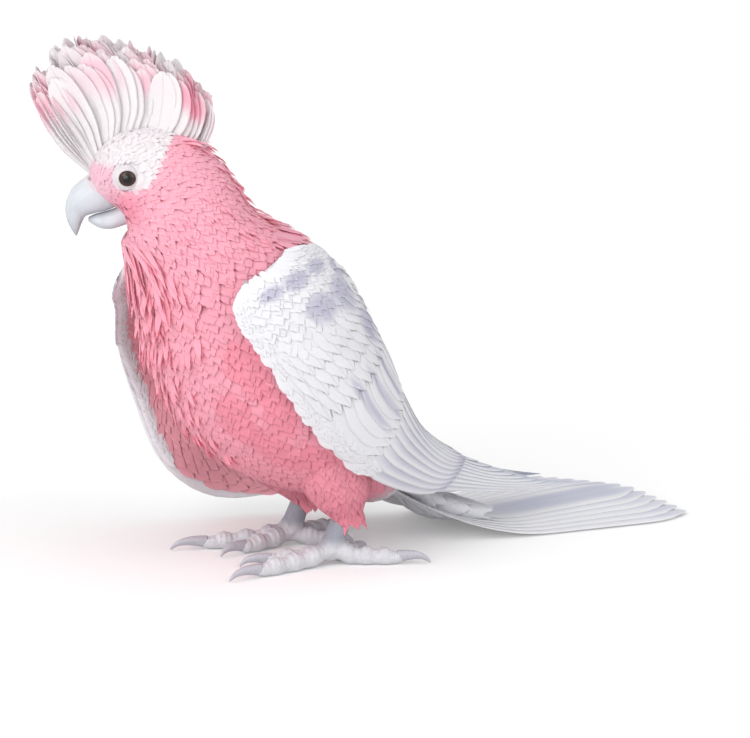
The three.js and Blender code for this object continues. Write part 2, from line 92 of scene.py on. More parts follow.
# what the camera sees added to the floor's own shade, near the bird and far off, and how far these are
FLOOR_LIFT = (0.2, 0.46)
FLOOR_REACH = (0.15, 1.4)
SURROUND = 0.72
LAMPS = [
    # azimuth from the camera, height, distance, size and watts
    (-50, 42, 1.7, 1.3, 9.5),
    (52, 30, 1.9, 1.4, 7.5),
    (-24, 8, 2.0, 1.5, 19),
]


def srgb(*values):
    """Linear red, green and blue from values of 0 to 255 on the usual display curve."""
    shares = np.array(values, float) / 255
    return np.where(shares <= 0.04045, shares / 12.92, ((shares + 0.055) / 1.055) ** 2.4)


def new_material(name):
    """A material and its empty node tree."""
    material = bpy.data.materials.new(name)
    material.use_nodes = True
    material.node_tree.nodes.clear()
    return material, material.node_tree


def add_node(tree, kind, sockets=None, **settings):
    """A shader node. Each of its sockets is set to a value, or joined to another node's socket."""
    node = tree.nodes.new("ShaderNode" + kind)
    for name, value in settings.items():
        setattr(node, name, value)
    for name, value in (sockets or {}).items():
        if isinstance(value, bpy.types.NodeSocket):
            tree.links.new(value, node.inputs[name])
        else:
            node.inputs[name].default_value = value
    return node


def maths(tree, operation, *values):
    """A maths node's result. Each value is a number or a socket."""
    return add_node(tree, "Math", dict(enumerate(values)), operation=operation).outputs[0]


def ranged(tree, value, **limits):
    """A value mapped from one range to another. Each range is 0 to 1 unless limits says otherwise."""
    sockets = {name.replace("_", " ").title(): limit for name, limit in limits.items()}
    return add_node(tree, "MapRange", {"Value": value, **sockets}).outputs[0]


def put_in(thing):
    """Links a new object into the scene."""
    bpy.context.scene.collection.objects.link(thing)
    return thing


floor_mesh = bpy.data.meshes.new("floor")
corners = [(x * FLOOR_HALF, y * FLOOR_HALF, -FLOOR_DROP)
           for x, y in [(-1, -1), (1, -1), (1, 1), (-1, 1)]]
floor_mesh.from_pydata(corners, [], [(0, 1, 2, 3)])
floor = put_in(bpy.data.objects.new("floor", floor_mesh))
floor_material, tree = new_material("pale floor")
diffuse = add_node(tree, "BsdfDiffuse", {"Color": (FLOOR_ALBEDO, FLOOR_ALBEDO, FLOOR_ALBEDO, 1)})
place = add_node(tree, "TexCoord").outputs["Object"]
away = add_node(tree, "VectorMath", {0: place}, operation="LENGTH").outputs["Value"]
fade = ranged(tree, away, from_min=FLOOR_REACH[0], from_max=FLOOR_REACH[1],
              to_min=FLOOR_LIFT[0], to_max=FLOOR_LIFT[1])
seen = add_node(tree, "LightPath").outputs["Is Camera Ray"]
lift = add_node(tree, "Emission", {"Strength": maths(tree, "MULTIPLY", seen, fade)})
both = add_node(tree, "AddShader", {0: diffuse.outputs[0], 1: lift.outputs[0]})
add_node(tree, "OutputMaterial", {"Surface": both.outputs[0]})
floor_mesh.materials.append(floor_material)
floor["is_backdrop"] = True

for azimuth, height, distance, size, watts in LAMPS:
    turn = CAMERA_AZIMUTH + math.radians(azimuth)
    rise = math.radians(height)
    lamp = put_in(bpy.data.objects.new("lamp", bpy.data.lights.new("lamp", "AREA")))
    lamp.data.energy = watts
    lamp.data.size = size
    lamp.location = (
        distance * math.sin(turn) * math.cos(rise),
        -distance * math.cos(turn) * math.cos(rise),
        AIM_HEIGHT + distance * math.sin(rise),
    )
    lamp.rotation_euler = (math.pi / 2 - rise, 0, turn)

world = bpy.data.worlds.new("pale surround")
bpy.context.scene.world = world
world.use_nodes = True
tree = world.node_tree
background = tree.nodes["Background"]
background.inputs["Color"].default_value = (1, 1, 1, 1)
seen = add_node(tree, "LightPath")
direct = maths(tree, "MAXIMUM", seen.outputs["Is Camera Ray"], seen.outputs["Is Glossy Ray"])
tree.links.new(ranged(tree, direct, to_min=SURROUND), background.inputs["Strength"])
bpy.context.scene.view_settings.view_transform = "Standard"

# ---------------------------------------------------------------- skin of the body
# The bare body under the feathers: one closed skin over head, neck, trunk, rump and thighs. It is
# lofted over rings from the tail's root to the bill and down each thigh, and melted into one.
ORIGIN = np.array([19.2, -32.7, 0]) * MM
NECK_AXIS_Y = -60
HEAD_TURN = 40
HEAD_MIDDLE = (-88, 162)  # y and z between the eyes, before the head turns
TAIL_RINGS = 2  # the first rings carry the tail's coverts, and have no skin
COAT_DEPTH = 3.2
# y, z, lean, half width, reach to the back, reach to the belly, and turn, in millimetres and degrees
BODY = np.array([
    [92, 4.5, 8, 24, 2.6, 3.2, 0],
    [62, 13, 24, 17, 5.5, 8, 0],
    [36, 26, 10, 13, 6, 6, 0],
    [23, 31, 20, 24, 13, 13, 0],
    [8, 41, 34, 33, 23, 20, 0],
    [-10, 58, 46, 41, 33, 33, 0],
    [-25, 80, 53, 45, 37.5, 43, 0],
    [-36.5, 102, 58, 45, 36.5, 46, 0],
    [-49, 122, 62, 39, 30.5, 40, 3],
    [-62, 139, 64, 30.5, 23, 30, 12],
    [-68, 152, 55, 26, 21.5, 30, 26],
    [-77.5, 160, 30, 23, 21.5, 26, 36],
    [-88, 162, 4, 20, 20.5, 21.5, HEAD_TURN],
    [-95, 160.5, -18, 15.5, 15.5, 15.5, HEAD_TURN],
    [-99.5, 156.5, -35, 9.5, 8.5, 8.5, HEAD_TURN],
    [-101.5, 155, -40, 5, 4, 4, HEAD_TURN],
])
BILL_RING = len(BODY) - 1

head_turn = math.radians(HEAD_TURN)
HEAD_FORWARD = np.array([-math.sin(head_turn), -math.cos(head_turn), 0])
HEAD_LEFT = np.array([math.cos(head_turn), -math.sin(head_turn), 0])
HEAD_CENTRE = ORIGIN + MM * np.array([0, NECK_AXIS_Y, HEAD_MIDDLE[1]])
HEAD_CENTRE = HEAD_CENTRE + MM * (NECK_AXIS_Y - HEAD_MIDDLE[0]) * HEAD_FORWARD


def along(table, t):
    """Rows of a table read at ring numbers t, on a Catmull-Rom curve through the rows."""
    t = np.clip(np.asarray(t, float), 0, len(table) - 1)
    first = np.minimum(t.astype(int), len(table) - 2)
    share = (t - first)[..., None]
    before, start, end, after = (table[np.clip(first + rows, 0, len(table) - 1)] for rows in (-1, 0, 1, 2))
    bend = 2 * before - 5 * start + 4 * end - after
    twist = 3 * (start - end) + after - before
    return start + 0.5 * share * (end - before + share * (bend + share * twist))


def in_head(points):
    """Points as forward, left and up of the middle between the eyes, along the head's own axes."""
    offset = points - HEAD_CENTRE
    return np.stack([offset @ HEAD_FORWARD, offset @ HEAD_LEFT, offset[..., 2]], -1)


def from_head(forward, left, up):
    """The opposite of in_head."""
    forward, left, up = np.broadcast_arrays(forward, left, up)
    return (HEAD_CENTRE + forward[..., None] * HEAD_FORWARD + left[..., None] * HEAD_LEFT
            + up[..., None] * np.array([0, 0, 1.0]))


# ahead of and above the eyes' middle, reach, and how far it stands out: eye hollow, brow and cheek
FACE_RELIEF = [(0.5, 0.5, 6, -1.0), (0, 8, 4.5, 0.6), (1, -10, 6, 0.9)]
FACE_SIDE = 8  # the relief is only further out than this from the head's middle plane


def face_relief(points):
    """How far the face stands out of the plain loft: hollows round the eyes, brows over them and full
    cheeks behind the gape. Each is a bell shape of the distance from its own middle."""
    forward, left, up = np.moveaxis(in_head(points) / MM, -1, 0)
    relief = 0
    for ahead, height, reach, amount in FACE_RELIEF:
        near = ((forward - ahead) ** 2 + (up - height) ** 2) / reach ** 2
        relief = relief + amount * np.exp(-near) * (np.abs(left) > FACE_SIDE)
    return relief * MM


def plain_body(t, angle, grow):
    """The loft: each ring is half an ellipse to the back and half to the belly, and turns about the
    neck's upright line."""
    y, z, lean, half, back, front, turn = np.moveaxis(along(BODY, t), -1, 0)
    lean, turn = np.radians(lean), np.radians(turn)
    reach = (np.where(np.cos(angle) > 0, back, front) * MM + grow) * np.cos(angle)
    side = (half * MM + grow) * np.sin(angle)
    ahead = (y - NECK_AXIS_Y) * MM + np.sin(lean) * reach
    place = [
        side * np.cos(turn) + ahead * np.sin(turn),
        NECK_AXIS_Y * MM + ahead * np.cos(turn) - side * np.sin(turn),
        z * MM + np.cos(lean) * reach,
    ]
    return np.stack(place, -1) + ORIGIN


def body_point(t, angle, grow=0.0):
    """A point of the body: at ring t, and at an angle from the back to the left side."""
    t, angle, grow = np.broadcast_arrays(t, angle, grow)
    return plain_body(t, angle, grow + face_relief(plain_body(t, angle, grow)))


def grid_faces(count, rows, columns, around):
    """Corner numbers of the quads of some grids that lie one after the other."""
    wide = columns if around else columns - 1
    row, column = np.meshgrid(np.arange(rows - 1), np.arange(wide), indexing="ij")
    after = (column + 1) % columns
    quads = np.stack([row * columns + column, row * columns + after,
                      (row + 1) * columns + after, (row + 1) * columns + column], -1).reshape(-1, 4)
    return (quads[None] + (np.arange(count) * rows * columns)[:, None, None]).reshape(-1, 4)


def grid_object(name, points, around=False, flip=False, tint=None, maps=None, weld=False):
    """An object made of one or more grids of points, (grids, rows, columns, 3). tint holds a colour for
    each point, and maps holds a UV pair for each point under its map's name."""
    points = points.reshape((-1,) + points.shape[-3:])
    quads = grid_faces(*points.shape[:3], around)
    if flip:
        quads = quads[:, ::-1]
    mesh = bpy.data.meshes.new(name)
    mesh.vertices.add(points.size // 3)
    mesh.vertices.foreach_set("co", points.ravel())
    mesh.loops.add(quads.size)
    mesh.loops.foreach_set("vertex_index", quads.ravel())
    mesh.polygons.add(len(quads))
    mesh.polygons.foreach_set("loop_start", np.arange(0, quads.size, 4))
    mesh.polygons.foreach_set("use_smooth", np.ones(len(quads), bool))
    if tint is not None:
        colour = np.ones((points.size // 3, 4))
        colour[:, :3] = np.broadcast_to(tint, points.shape).reshape(-1, 3)
        layer = mesh.color_attributes.new(name="tint", type="FLOAT_COLOR", domain="POINT")
        layer.data.foreach_set("color", colour.ravel())
    for map_name, pairs in (maps or {}).items():
        flat = np.broadcast_to(pairs, points.shape[:3] + (2,)).reshape(-1, 2)
        mesh.uv_layers.new(name=map_name).uv.foreach_set("vector", flat[quads.ravel()].ravel())
    mesh.update(calc_edges=True)
    mesh.validate()
    if weld:
        shell = bmesh.new()
        shell.from_mesh(mesh)
        bmesh.ops.remove_doubles(shell, verts=shell.verts, dist=1e-6)
        shell.to_mesh(mesh)
        shell.free()
    return put_in(bpy.data.objects.new(name, mesh))


def melted(name, shells, voxel):
    """One closed skin over several closed shells: they are joined, remeshed at a voxel size and
    smoothed."""
    joined = bmesh.new()
    for shell in shells:
        joined.from_mesh(shell.data)
        bpy.data.objects.remove(shell)
    mesh = bpy.data.meshes.new(name)
    joined.to_mesh(mesh)
    joined.free()
    piece = put_in(bpy.data.objects.new(name, mesh))
    remesh = piece.modifiers.new("remesh", "REMESH")
    remesh.mode = "VOXEL"
    remesh.voxel_size = voxel
    smooth = piece.modifiers.new("smooth", "SMOOTH")
    smooth.iterations = 2
    graph = bpy.context.evaluated_depsgraph_get()
    piece.data = bpy.data.meshes.new_from_object(piece.evaluated_get(graph))
    piece.modifiers.clear()
    piece.data.polygons.foreach_set("use_smooth", np.ones(len(piece.data.polygons), bool))
    return piece


LEGS = {  # side, where the toes' hub stands, and which way the foot points, in millimetres and degrees
    "left": (1, 19, -11, -12),
    "right": (-1, -19, -2, -15),
}
HEEL_BEHIND = 9
# radius at even steps down a thigh, over its feathers
THIGH = np.array([[17.0], [17.3], [15.8], [12.5], [6.5]])
THIGH_TOP = (21, -16, 60)
THIGH_BOTTOM = 19.5
THIGH_OVAL = (0.9, 1.05, 0.3)  # half width, half depth and rise to the rear of a ring, by its radius
SKIN_VOXEL = 1.1 * MM


def heel_of(word):
    """Where the heel of a leg is above the floor, as x and y in millimetres."""
    _, x, y, turn = LEGS[word]
    turn = math.radians(turn)
    return x - HEEL_BEHIND * math.sin(turn), y + HEEL_BEHIND * math.cos(turn)


def thigh_point(word, share, angle, grow=0.0):
    """A point of a thigh: at a share of the way down, and at an angle round it from behind. Each ring is
    an ellipse that leans back a little."""
    share, angle, grow = np.broadcast_arrays(share, angle, grow)
    heel = heel_of(word)
    radius = along(THIGH, share * (len(THIGH) - 1))[..., 0] * MM + grow
    top_x = LEGS[word][0] * THIGH_TOP[0]
    centre = np.stack([
        top_x + (heel[0] - top_x) * share,
        THIGH_TOP[1] + (heel[1] - 1 - THIGH_TOP[1]) * share,
        THIGH_TOP[2] + (THIGH_BOTTOM - THIGH_TOP[2]) * share,
    ], -1) * MM
    ring = np.stack([np.sin(angle), np.cos(angle), np.cos(angle)], -1) * THIGH_OVAL
    return centre + radius[..., None] * ring + ORIGIN


def skin_depth(t):
    """How far the skin lies inside the coat at ring t."""
    return np.interp(t, [TAIL_RINGS, 9, 11, 12.5, BILL_RING], [COAT_DEPTH, 2.6, 1.4, 0.9, 0.5]) * MM


def with_ends(rings):
    """Rings of points with a pole before and after them, in the middle of the first and the last."""
    ends = [np.repeat(rings[[k]].mean(1, keepdims=True), rings.shape[1], 1) for k in (0, -1)]
    return np.concatenate([ends[0], rings, ends[1]])


RING = np.linspace(0, 2 * np.pi, 96, endpoint=False)
t = np.linspace(TAIL_RINGS, BILL_RING, 150)[:, None]
shells = [grid_object("shell", with_ends(body_point(t, RING[None], -skin_depth(t))), True, weld=True)]
for word in LEGS:
    places = thigh_point(word, np.linspace(0, 1, 24)[:, None], RING[None], -0.8 * COAT_DEPTH * MM)
    shells.append(grid_object("shell", with_ends(places), True, flip=True, weld=True))
skin = melted("skin", shells, SKIN_VOXEL)

PINK_NECK = srgb(255, 182, 200)
PINK_BREAST = srgb(255, 176, 194)
PINK_BELLY = srgb(255, 164, 182)
PINK_THIGH = srgb(250, 152, 171)
ROSE_CHEEK = srgb(250, 148, 174)
LORE = srgb(252, 204, 220)
CAP_WHITE = srgb(243, 237, 240)
MANTLE = srgb(216, 217, 226)
RUMP_WHITE = srgb(236, 236, 241)


def step(value, low, high):
    """0 below low, 1 above high, and a smooth slope between."""
    share = np.clip((value - low) / (high - low), 0, 1)
    return share * share * (3 - 2 * share)


# soft deeper patches of the belly, from the left flank to past its middle: ring after the tail's and
# angle of each, and how far it reaches along and round the body
BLOTCHES = [
    (5.3, 132, 0.55, 11),
    (4.6, 150, 0.5, 10),
    (4.5, 128, 0.5, 9),
    (3.9, 142, 0.5, 10),
    (3.3, 128, 0.45, 10),
    (4.0, 196, 0.5, 10),
    (4.9, 214, 0.5, 11),
    (3.2, 222, 0.5, 10),
]
PINK_BLOTCH = srgb(252, 150, 170)
# the white cap's rear edge: heights over the eyes' middle, and how far ahead of it the edge is there
CAP_EDGE = ([-6, -4, 4.6, 15, 21, 25], [4, -5, -10, -13.5, -18, -30])


def coat_colour(t, angle):
    """The coat's colour at ring t and an angle: rose all over, deeper towards the belly, with a white
    cap down to the eyes, pale lores, a deep rose cheek, and a silver back, rump and vent."""
    t, angle = np.broadcast_arrays(t, angle)
    forward, _, up = np.moveaxis(in_head(body_point(t, angle)) / MM, -1, 0)
    from_back = np.degrees(np.abs((angle + np.pi) % (2 * np.pi) - np.pi))
    ring = t - TAIL_RINGS
    stops = [0, 3.2, 5.0, 6.6, 8.5, 11]
    shades = [PINK_BELLY, PINK_BELLY, PINK_BREAST, PINK_BREAST, PINK_NECK, PINK_NECK]
    colour = np.stack([np.interp(ring, stops, [shade[k] for shade in shades]) for k in range(3)], -1)

    def blend(shade, share):
        nonlocal colour
        colour = colour + (shade - colour) * np.clip(share, 0, 1)[..., None]

    on_head = step(ring, 7.2, 8.2)
    edge = np.interp(up, *CAP_EDGE)
    blend(CAP_WHITE, on_head * step(forward, edge - 1.2, edge + 1.2) * step(up, -6, -4.2))
    blend(LORE, on_head * step(forward, 3.5, 6.5) * (1 - step(up, 2, 6)))
    cheek = ((forward - 3) / 6) ** 2 + ((up + 11) / 6) ** 2
    blend(ROSE_CHEEK, on_head * 0.8 * np.exp(-cheek) * (1 - step(forward, 9, 13)))
    for middle, side, long, wide in BLOTCHES:
        off = np.hypot((ring - middle) / long, ((np.degrees(angle) % 360) - side) / wide)
        blend(PINK_BLOTCH, 0.75 * (1 - step(off, 0.8, 1.15)))
    blend(MANTLE, (1 - step(from_back, 55, 72)) * (1 - step(ring, 5.6, 6.3)))
    blend(RUMP_WHITE, 1 - step(ring, 1.2, 2.0))
    return colour


def nearest_colour(points):
    """The coat's colour at the nearest place of the loft to each point, for the skin under it."""
    t, angle = np.meshgrid(np.linspace(TAIL_RINGS, BILL_RING, 90), RING[::2], indexing="ij")
    places, shades = body_point(t, angle).reshape(-1, 3), coat_colour(t, angle).reshape(-1, 3)
    nearest = [np.argmin(((part[:, None] - places[None]) ** 2).sum(-1), 1)
               for part in np.array_split(points, 1 + len(points) // 2000)]
    return shades[np.concatenate(nearest)]


def vertex_places(piece):
    """The vertices of an object's mesh."""
    places = np.empty(len(piece.data.vertices) * 3)
    piece.data.vertices.foreach_get("co", places)
    return places.reshape(-1, 3)


def paint(piece, shades):
    """Writes a colour for each vertex into the piece's tint."""
    colour = np.ones((len(piece.data.vertices), 4))
    colour[:, :3] = shades
    layer = piece.data.color_attributes.new(name="tint", type="FLOAT_COLOR", domain="POINT")
    layer.data.foreach_set("color", colour.ravel())


def noise(tree, scale, detail=3.0):
    """The value of a noise texture on the object's coordinates."""
    place = add_node(tree, "TexCoord").outputs["Object"]
    return add_node(tree, "TexNoise", {"Vector": place, "Scale": scale, "Detail": detail}).outputs["Fac"]


def bumped(tree, shader, height, distance, strength=1.0):
    """Gives a shader a bump of a height between 0 and 1."""
    bump = add_node(tree, "Bump", {"Height": height, "Distance": distance, "Strength": strength})
    tree.links.new(bump.outputs[0], shader.inputs["Normal"])


def scaled(tree, colour, scale):
    """A colour made darker or lighter by a factor."""
    return add_node(tree, "VectorMath", {0: colour, "Scale": scale}, operation="SCALE").outputs[0]


def shaded(tree, shade, low, high):
    """The colour kept on the mesh, made darker and lighter by a value between 0 and 1."""
    tint = add_node(tree, "Attribute", attribute_name="tint").outputs["Color"]
    return scaled(tree, tint, ranged(tree, shade, to_min=low, to_max=high))


def down_material():
    """Skin with fine down: the markings' colour, mottled, with a soft grain."""
    material, tree = new_material("downy skin")
    colour = shaded(tree, noise(tree, 600), 0.72, 0.98)
    shader = add_node(tree, "BsdfPrincipled", {"Base Color": colour, "Roughness": 0.9})
    bumped(tree, shader, noise(tree, 2500), 0.4 * MM)
    add_node(tree, "OutputMaterial", {"Surface": shader.outputs[0]})
    return material


def hand_on(piece, material, slot, *nodes):
    """Gives a piece its material, hides the frame's nodes that it stands for, and lets it ride on the
    root. slot is not used."""
    piece.data.materials.append(material)
    if nodes:
        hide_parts(*nodes)
    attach(piece, "root")


paint(skin, nearest_colour(vertex_places(skin)))
hand_on(skin, down_material(), "pink_feather",
        "head", "neck", "trunk", "rump", "thigh_left", "thigh_right")

# ---------------------------------------------------------------- coat of the body
# Small contour feathers, each a curved vane with a frayed tip. They lie along the body towards the
# tail, each over the roots of the next, and they are smallest on the face.
GOLDEN = np.array([0.7548776662466927, 0.5698402909980532])  # steps that fill a square evenly
BAKE_PATCH = 0.003
THROUGH_SHARE = 0.18  # of the light on a vane: what passes through it
# feather length by ring, from the tail's coverts to the bill, in millimetres
FEATHER_LENGTH = [21, 19, 16, 13, 11.5, 10, 9, 8.6, 8, 7.2, 6.2, 5.2, 4.2, 3.5, 3, 2.7]
WIDTH_SHARE = 0.66
ROOM_SHARE = 0.15  # of the length squared: the room that each feather has


def scatter(surface, t_range, angle_range, room):
    """Roots spread evenly over a surface, as t and angle: a golden-ratio sequence mapped through the
    share of the surface below each ring, and then round each ring. room is each feather's area."""
    t = np.linspace(*t_range, 240)
    angle = np.linspace(*angle_range, 181)
    places = surface(t[:, None], angle[None], 0.0)
    down, round_it = np.diff(places[:, :-1], axis=0), np.diff(places[:-1], axis=1)
    area = np.linalg.norm(np.cross(down, round_it), axis=-1)
    middle_t, middle_angle = np.meshgrid((t[1:] + t[:-1]) / 2, (angle[1:] + angle[:-1]) / 2, indexing="ij")
    weight = area / room(middle_t, middle_angle)
    by_ring = np.concatenate([[0], np.cumsum(weight.sum(1))])
    draws = (0.5 + np.arange(int(weight.sum()))[:, None] * GOLDEN) % 1
    level = draws[:, 0] * by_ring[-1]
    ring = np.interp(level, by_ring, t)
    row = np.clip(np.searchsorted(by_ring, level) - 1, 0, len(weight) - 1)
    around = np.cumsum(weight, 1)
    around = around / around[:, -1:]
    place = np.searchsorted((around + np.arange(len(weight))[:, None]).ravel(), row + draws[:, 1])
    column = np.clip(place - row * weight.shape[1], 0, weight.shape[1] - 1)
    low = np.where(column > 0, around[row, column - 1], 0)
    share = (draws[:, 1] - low) / np.maximum(around[row, column] - low, 1e-9)
    return ring, angle[column] + share * (angle[1] - angle[0])


def vane_shape(rows, columns, tip):
    """The grid of one feather: u runs from its root to its tip, with closer steps at the tip, x from one
    edge to the other, and swell is its half width as a share of the widest: narrow at the root, and
    round beyond the share tip of its length."""
    u = 1 - (1 - np.linspace(0, 1, rows)) ** 1.7
    x = np.linspace(-1, 1, columns)
    rounding = np.sqrt(np.clip(1 - np.clip((u - tip) / (1.03 - tip), 0, 1) ** 2, 0, 1))
    swell = np.minimum(1, 0.4 + 1.5 * u) * rounding
    return u[:, None] + 0 * x[None], x[None] + 0 * u[:, None], swell[:, None]


def each(values):
    """A value for each feather, ready to meet the rows and columns of its grid."""
    return np.asarray(values)[:, None, None]


def vanes(place, length, width, low, high, rng, rows=7, columns=7, tip=0.6, fray=0.05, turn=0.0,
          point=0.3, camber=0.04, roll=0.0, rise=2.2, ridge=0.0, thick=0.0):
    """Many feathers as one array of grids. place(x, y, height) gives points from how far across, along
    and above each feather's root they are. Width, low, high and turn are one value for all, or one for
    each feather. A feather rises from low at its root to high at its tip, as 1 - (1 - u) ^ rise. point
    draws its edges back from the tip, and fray cuts every second column back into teeth. The edges lie
    camber of its width lower than the shaft, roll tilts it to one side, and ridge is the shaft's height.
    With a thickness its underside is there too, as a closed shell. Returns the points, the place on the
    vane in metres, and u and x as in vane_shape."""
    u, x, swell = vane_shape(rows, columns, tip)
    notch = np.where(np.arange(columns) % 2, -1.0, 0.0) + rng.uniform(-0.5, 0.1, (len(length), 1, columns))
    teeth = notch * np.clip((u - 0.6) / 0.4, 0, 1) ** 2 * fray
    width, low, high, turn = (each(np.broadcast_to(value, len(length)))
                              for value in (width, low, high, turn))
    size, half = each(length), width / 2
    on = (u[None] - point * (x ** 2 * u ** 2)[None] + teeth) * size
    edge = 1 - 0.9 * fray * (np.arange(rows) % 2)[:, None] * (u > 0.5) * (np.abs(x) == 1)
    out = (x * swell * edge)[None] * half
    height = low + (high - low) * (1 - (1 - u) ** rise)[None]
    height = height - camber * 2 * half * (x ** 2)[None] * (0.4 + 0.6 * u)[None]
    height = height + roll * x[None] + ridge * (np.exp(-(x / 0.12) ** 2) * (1 - 0.8 * u))[None]
    moved = (out * np.cos(turn) + on * np.sin(turn), on * np.cos(turn) - out * np.sin(turn))
    points = place(*moved, height)
    vane = np.broadcast_to(np.stack([out, on], -1), points.shape[:3] + (2,))
    if thick:
        core = thick * (1 - 0.7 * np.abs(x[None]) ** 1.5) * np.clip((1 - u[None]) * 12, 0, 1)
        points = np.concatenate([points, place(*moved, height - core)[:, :, ::-1]], 2)
        vane = np.concatenate([vane, vane[:, :, ::-1]], 2)
        u, x = np.concatenate([u, u[:, ::-1]], 1), np.concatenate([x, x[:, ::-1]], 1)
    return points, vane, u[None, ..., None], x[None, ..., None]


def bake_map(root_u, root_v, rows, columns):
    """Each feather's patch on the unwrap of the skin, at its root's place."""
    u, v = np.meshgrid(np.linspace(0, 1, rows), np.linspace(0, 1, columns), indexing="ij")
    patch = np.stack([v, u], -1)[None] * BAKE_PATCH
    return each(np.stack([root_u, root_v], -1) * (1 - BAKE_PATCH)) + patch


def strip_map(count, rows, columns):
    """A strip of the bake for each long feather, side by side: across it and along it."""
    u, v = np.meshgrid(np.linspace(0.002, 0.998, rows), np.linspace(0.04, 0.96, columns), indexing="ij")
    strips = (each(np.arange(count)) + v[None]) / count
    return np.stack([strips, np.broadcast_to(u[None], strips.shape)], -1)


def feather_material(name, barb_size, sheen, shaft=0.0):
    """A feather's vane: the colour kept on the mesh, with barbs that run out and forwards from the
    shaft as fine ridges. Its colour is a little uneven at random, and darker in the grooves between the
    ridges, a painted shade of the barbs. shaft is the half width of a darker shaft. Some light passes
    through."""
    material, tree = new_material(name)
    split = add_node(tree, "SeparateXYZ", {0: add_node(tree, "UVMap", uv_map="vane").outputs[0]})
    from_shaft = maths(tree, "ABSOLUTE", split.outputs["X"])
    run = maths(tree, "SUBTRACT", split.outputs["Y"], maths(tree, "MULTIPLY", from_shaft, 0.9))
    run = maths(tree, "ADD", run, maths(tree, "MULTIPLY", noise(tree, 220), 1.6 * MM))
    ridges = maths(tree, "SINE", maths(tree, "MULTIPLY", run, 2 * math.pi / barb_size))
    ridges = maths(tree, "MULTIPLY_ADD", ridges, 0.5, 0.5)
    # painted shade: darker between the barb ridges, on top of a random mottle
    mottle_and_crease_shade = maths(tree, "MULTIPLY_ADD", noise(tree, 900), 0.45, maths(tree, "MULTIPLY", ridges, 0.55))
    colour = shaded(tree, mottle_and_crease_shade, 0.85, 1.07)
    if shaft:
        paler = ranged(tree, from_shaft, from_min=shaft, from_max=2 * shaft, to_min=0.9)
        colour = scaled(tree, colour, paler)
    shader = add_node(tree, "BsdfPrincipled", {
        "Base Color": colour, "Roughness": 0.72, "Specular IOR Level": 0.25, "Sheen Weight": sheen,
    })
    bumped(tree, shader, ridges, 0.1 * MM, 0.5)
    through = add_node(tree, "BsdfTranslucent", {"Color": colour})
    both = add_node(tree, "MixShader", {0: THROUGH_SHARE, 1: shader.outputs[0], 2: through.outputs[0]})
    add_node(tree, "OutputMaterial", {"Surface": both.outputs[0]})
    return material


def body_place(t, angle):
    """A place function for feathers rooted at rings t and angles: they run back towards the tail."""
    small = 1e-3
    step_back = body_point(t + small, angle) - body_point(t - small, angle)
    step_round = body_point(t, angle + small) - body_point(t, angle - small)
    by_t = each(np.maximum(np.linalg.norm(step_back, axis=-1) / (2 * small), 2 * MM))
    by_angle = each(np.maximum(np.linalg.norm(step_round, axis=-1) / (2 * small), 1 * MM))

    def place(x, y, height):
        return body_point(each(t) - y / by_t, each(angle) + x / by_angle, height)

    return place


def body_length(t, angle):
    """How long the feather at a ring and an angle is, in metres: shorter on the face."""
    size = np.interp(t, np.arange(len(BODY)), FEATHER_LENGTH) * MM
    forward, _, up = np.moveaxis(in_head(body_point(t, angle)) / MM, -1, 0)
    near_eye = np.exp(-(forward ** 2 + up ** 2) / 9 ** 2) * (t > 10.5)
    return size * (1 - 0.35 * near_eye)


small_feather = feather_material("small feather", 0.45 * MM, 0.12)
EYE_SIDE, EYE_UP = 15.2, 0.8  # the middle of the eyeball, left of and above the head's middle
BARE_RING = 5.6  # round the eye, free of feathers
# ring range, angles from and to, how frayed the tips are, and how much they vary in height
COAT_PARTS = {
    "coat_head": (10.4, 14.4, 0, 360, 0.07, 0.02),
    "coat_neck": (8.3, 10.4, 0, 360, 0.07, 0.03),
    "coat_breast": (5.2, 8.3, 50, 310, 0.07, 0.03),
    "coat_belly": (2.6, 5.2, 50, 310, 0.07, 0.03),
    "coat_back": (3.2, 8.3, -50, 50, 0.07, 0.03),
    "coat_rump": (0.9, 3.2, -62, 62, 0.06, 0.03),
    "coat_vent": (0.9, 2.6, 62, 298, 0.06, 0.03),
}
BODY_SHADES = (0.95, 1.04)


def small_coat(name, place, roots, sizes, colour, shades, rng, pale=(0.93, 0.1, 0.03), slot="pink_feather",
               **shape):
    """A piece of small feathers. roots is their place on the unwrap of the skin, and sizes their
    length, width, and height at root and tip. shades are the darkest and the lightest feather's share
    of the colour. pale is a vane's share at its root, and what its tip and its edges add: the darker
    root is painted shade where the feathers above cover it, the lighter tip is painted light that
    softens the shadows under the tips, and the edges are a little paler."""
    points, vane, u, x = vanes(place, *sizes, rng, **shape)
    tint = each(colour * rng.uniform(*shades, (len(colour), 1)))
    # painted shade at each vane's root, and painted light towards its tip
    tint = tint * (pale[0] + pale[1] * u + pale[2] * x ** 2)
    maps = {"OFBake": bake_map(*roots, *points.shape[1:3]), "vane": vane}
    hand_on(grid_object(name, points, tint=tint, maps=maps), small_feather, slot)


def body_roots(t, angle):
    """The places of roots at rings t and angles on the unwrap of the body."""
    return (angle / (2 * np.pi)) % 1, t / BILL_RING


def body_coat(name, t, angle, length, width, high, rng, **shape):
    """A piece of feathers rooted in the skin at rings t and angles."""
    sizes = (length, width, -0.95 * skin_depth(t), high)
    small_coat(name, body_place(t, angle), body_roots(t, angle), sizes, coat_colour(t, angle), BODY_SHADES,
               rng, **shape)


def up_to_the_eye(t, angle, length):
    """Each feather's length, cut so that it ends short of the bare ring round the eye: 0 inside it."""
    forward, left, up = np.moveaxis(in_head(body_point(t, angle)) / MM, -1, 0)
    beside = np.abs(left) > 9
    height = np.abs(up - EYE_UP)
    inside = beside & (forward ** 2 + height ** 2 < BARE_RING ** 2)
    rim = np.sqrt(np.clip(BARE_RING ** 2 - height ** 2, 0, None))
    ahead = beside & (forward > 0) & (height < BARE_RING)
    room = np.where(ahead, forward - rim, 100) * MM
    return np.where(inside, 0, np.minimum(length, np.maximum(room, 1.6 * MM)))


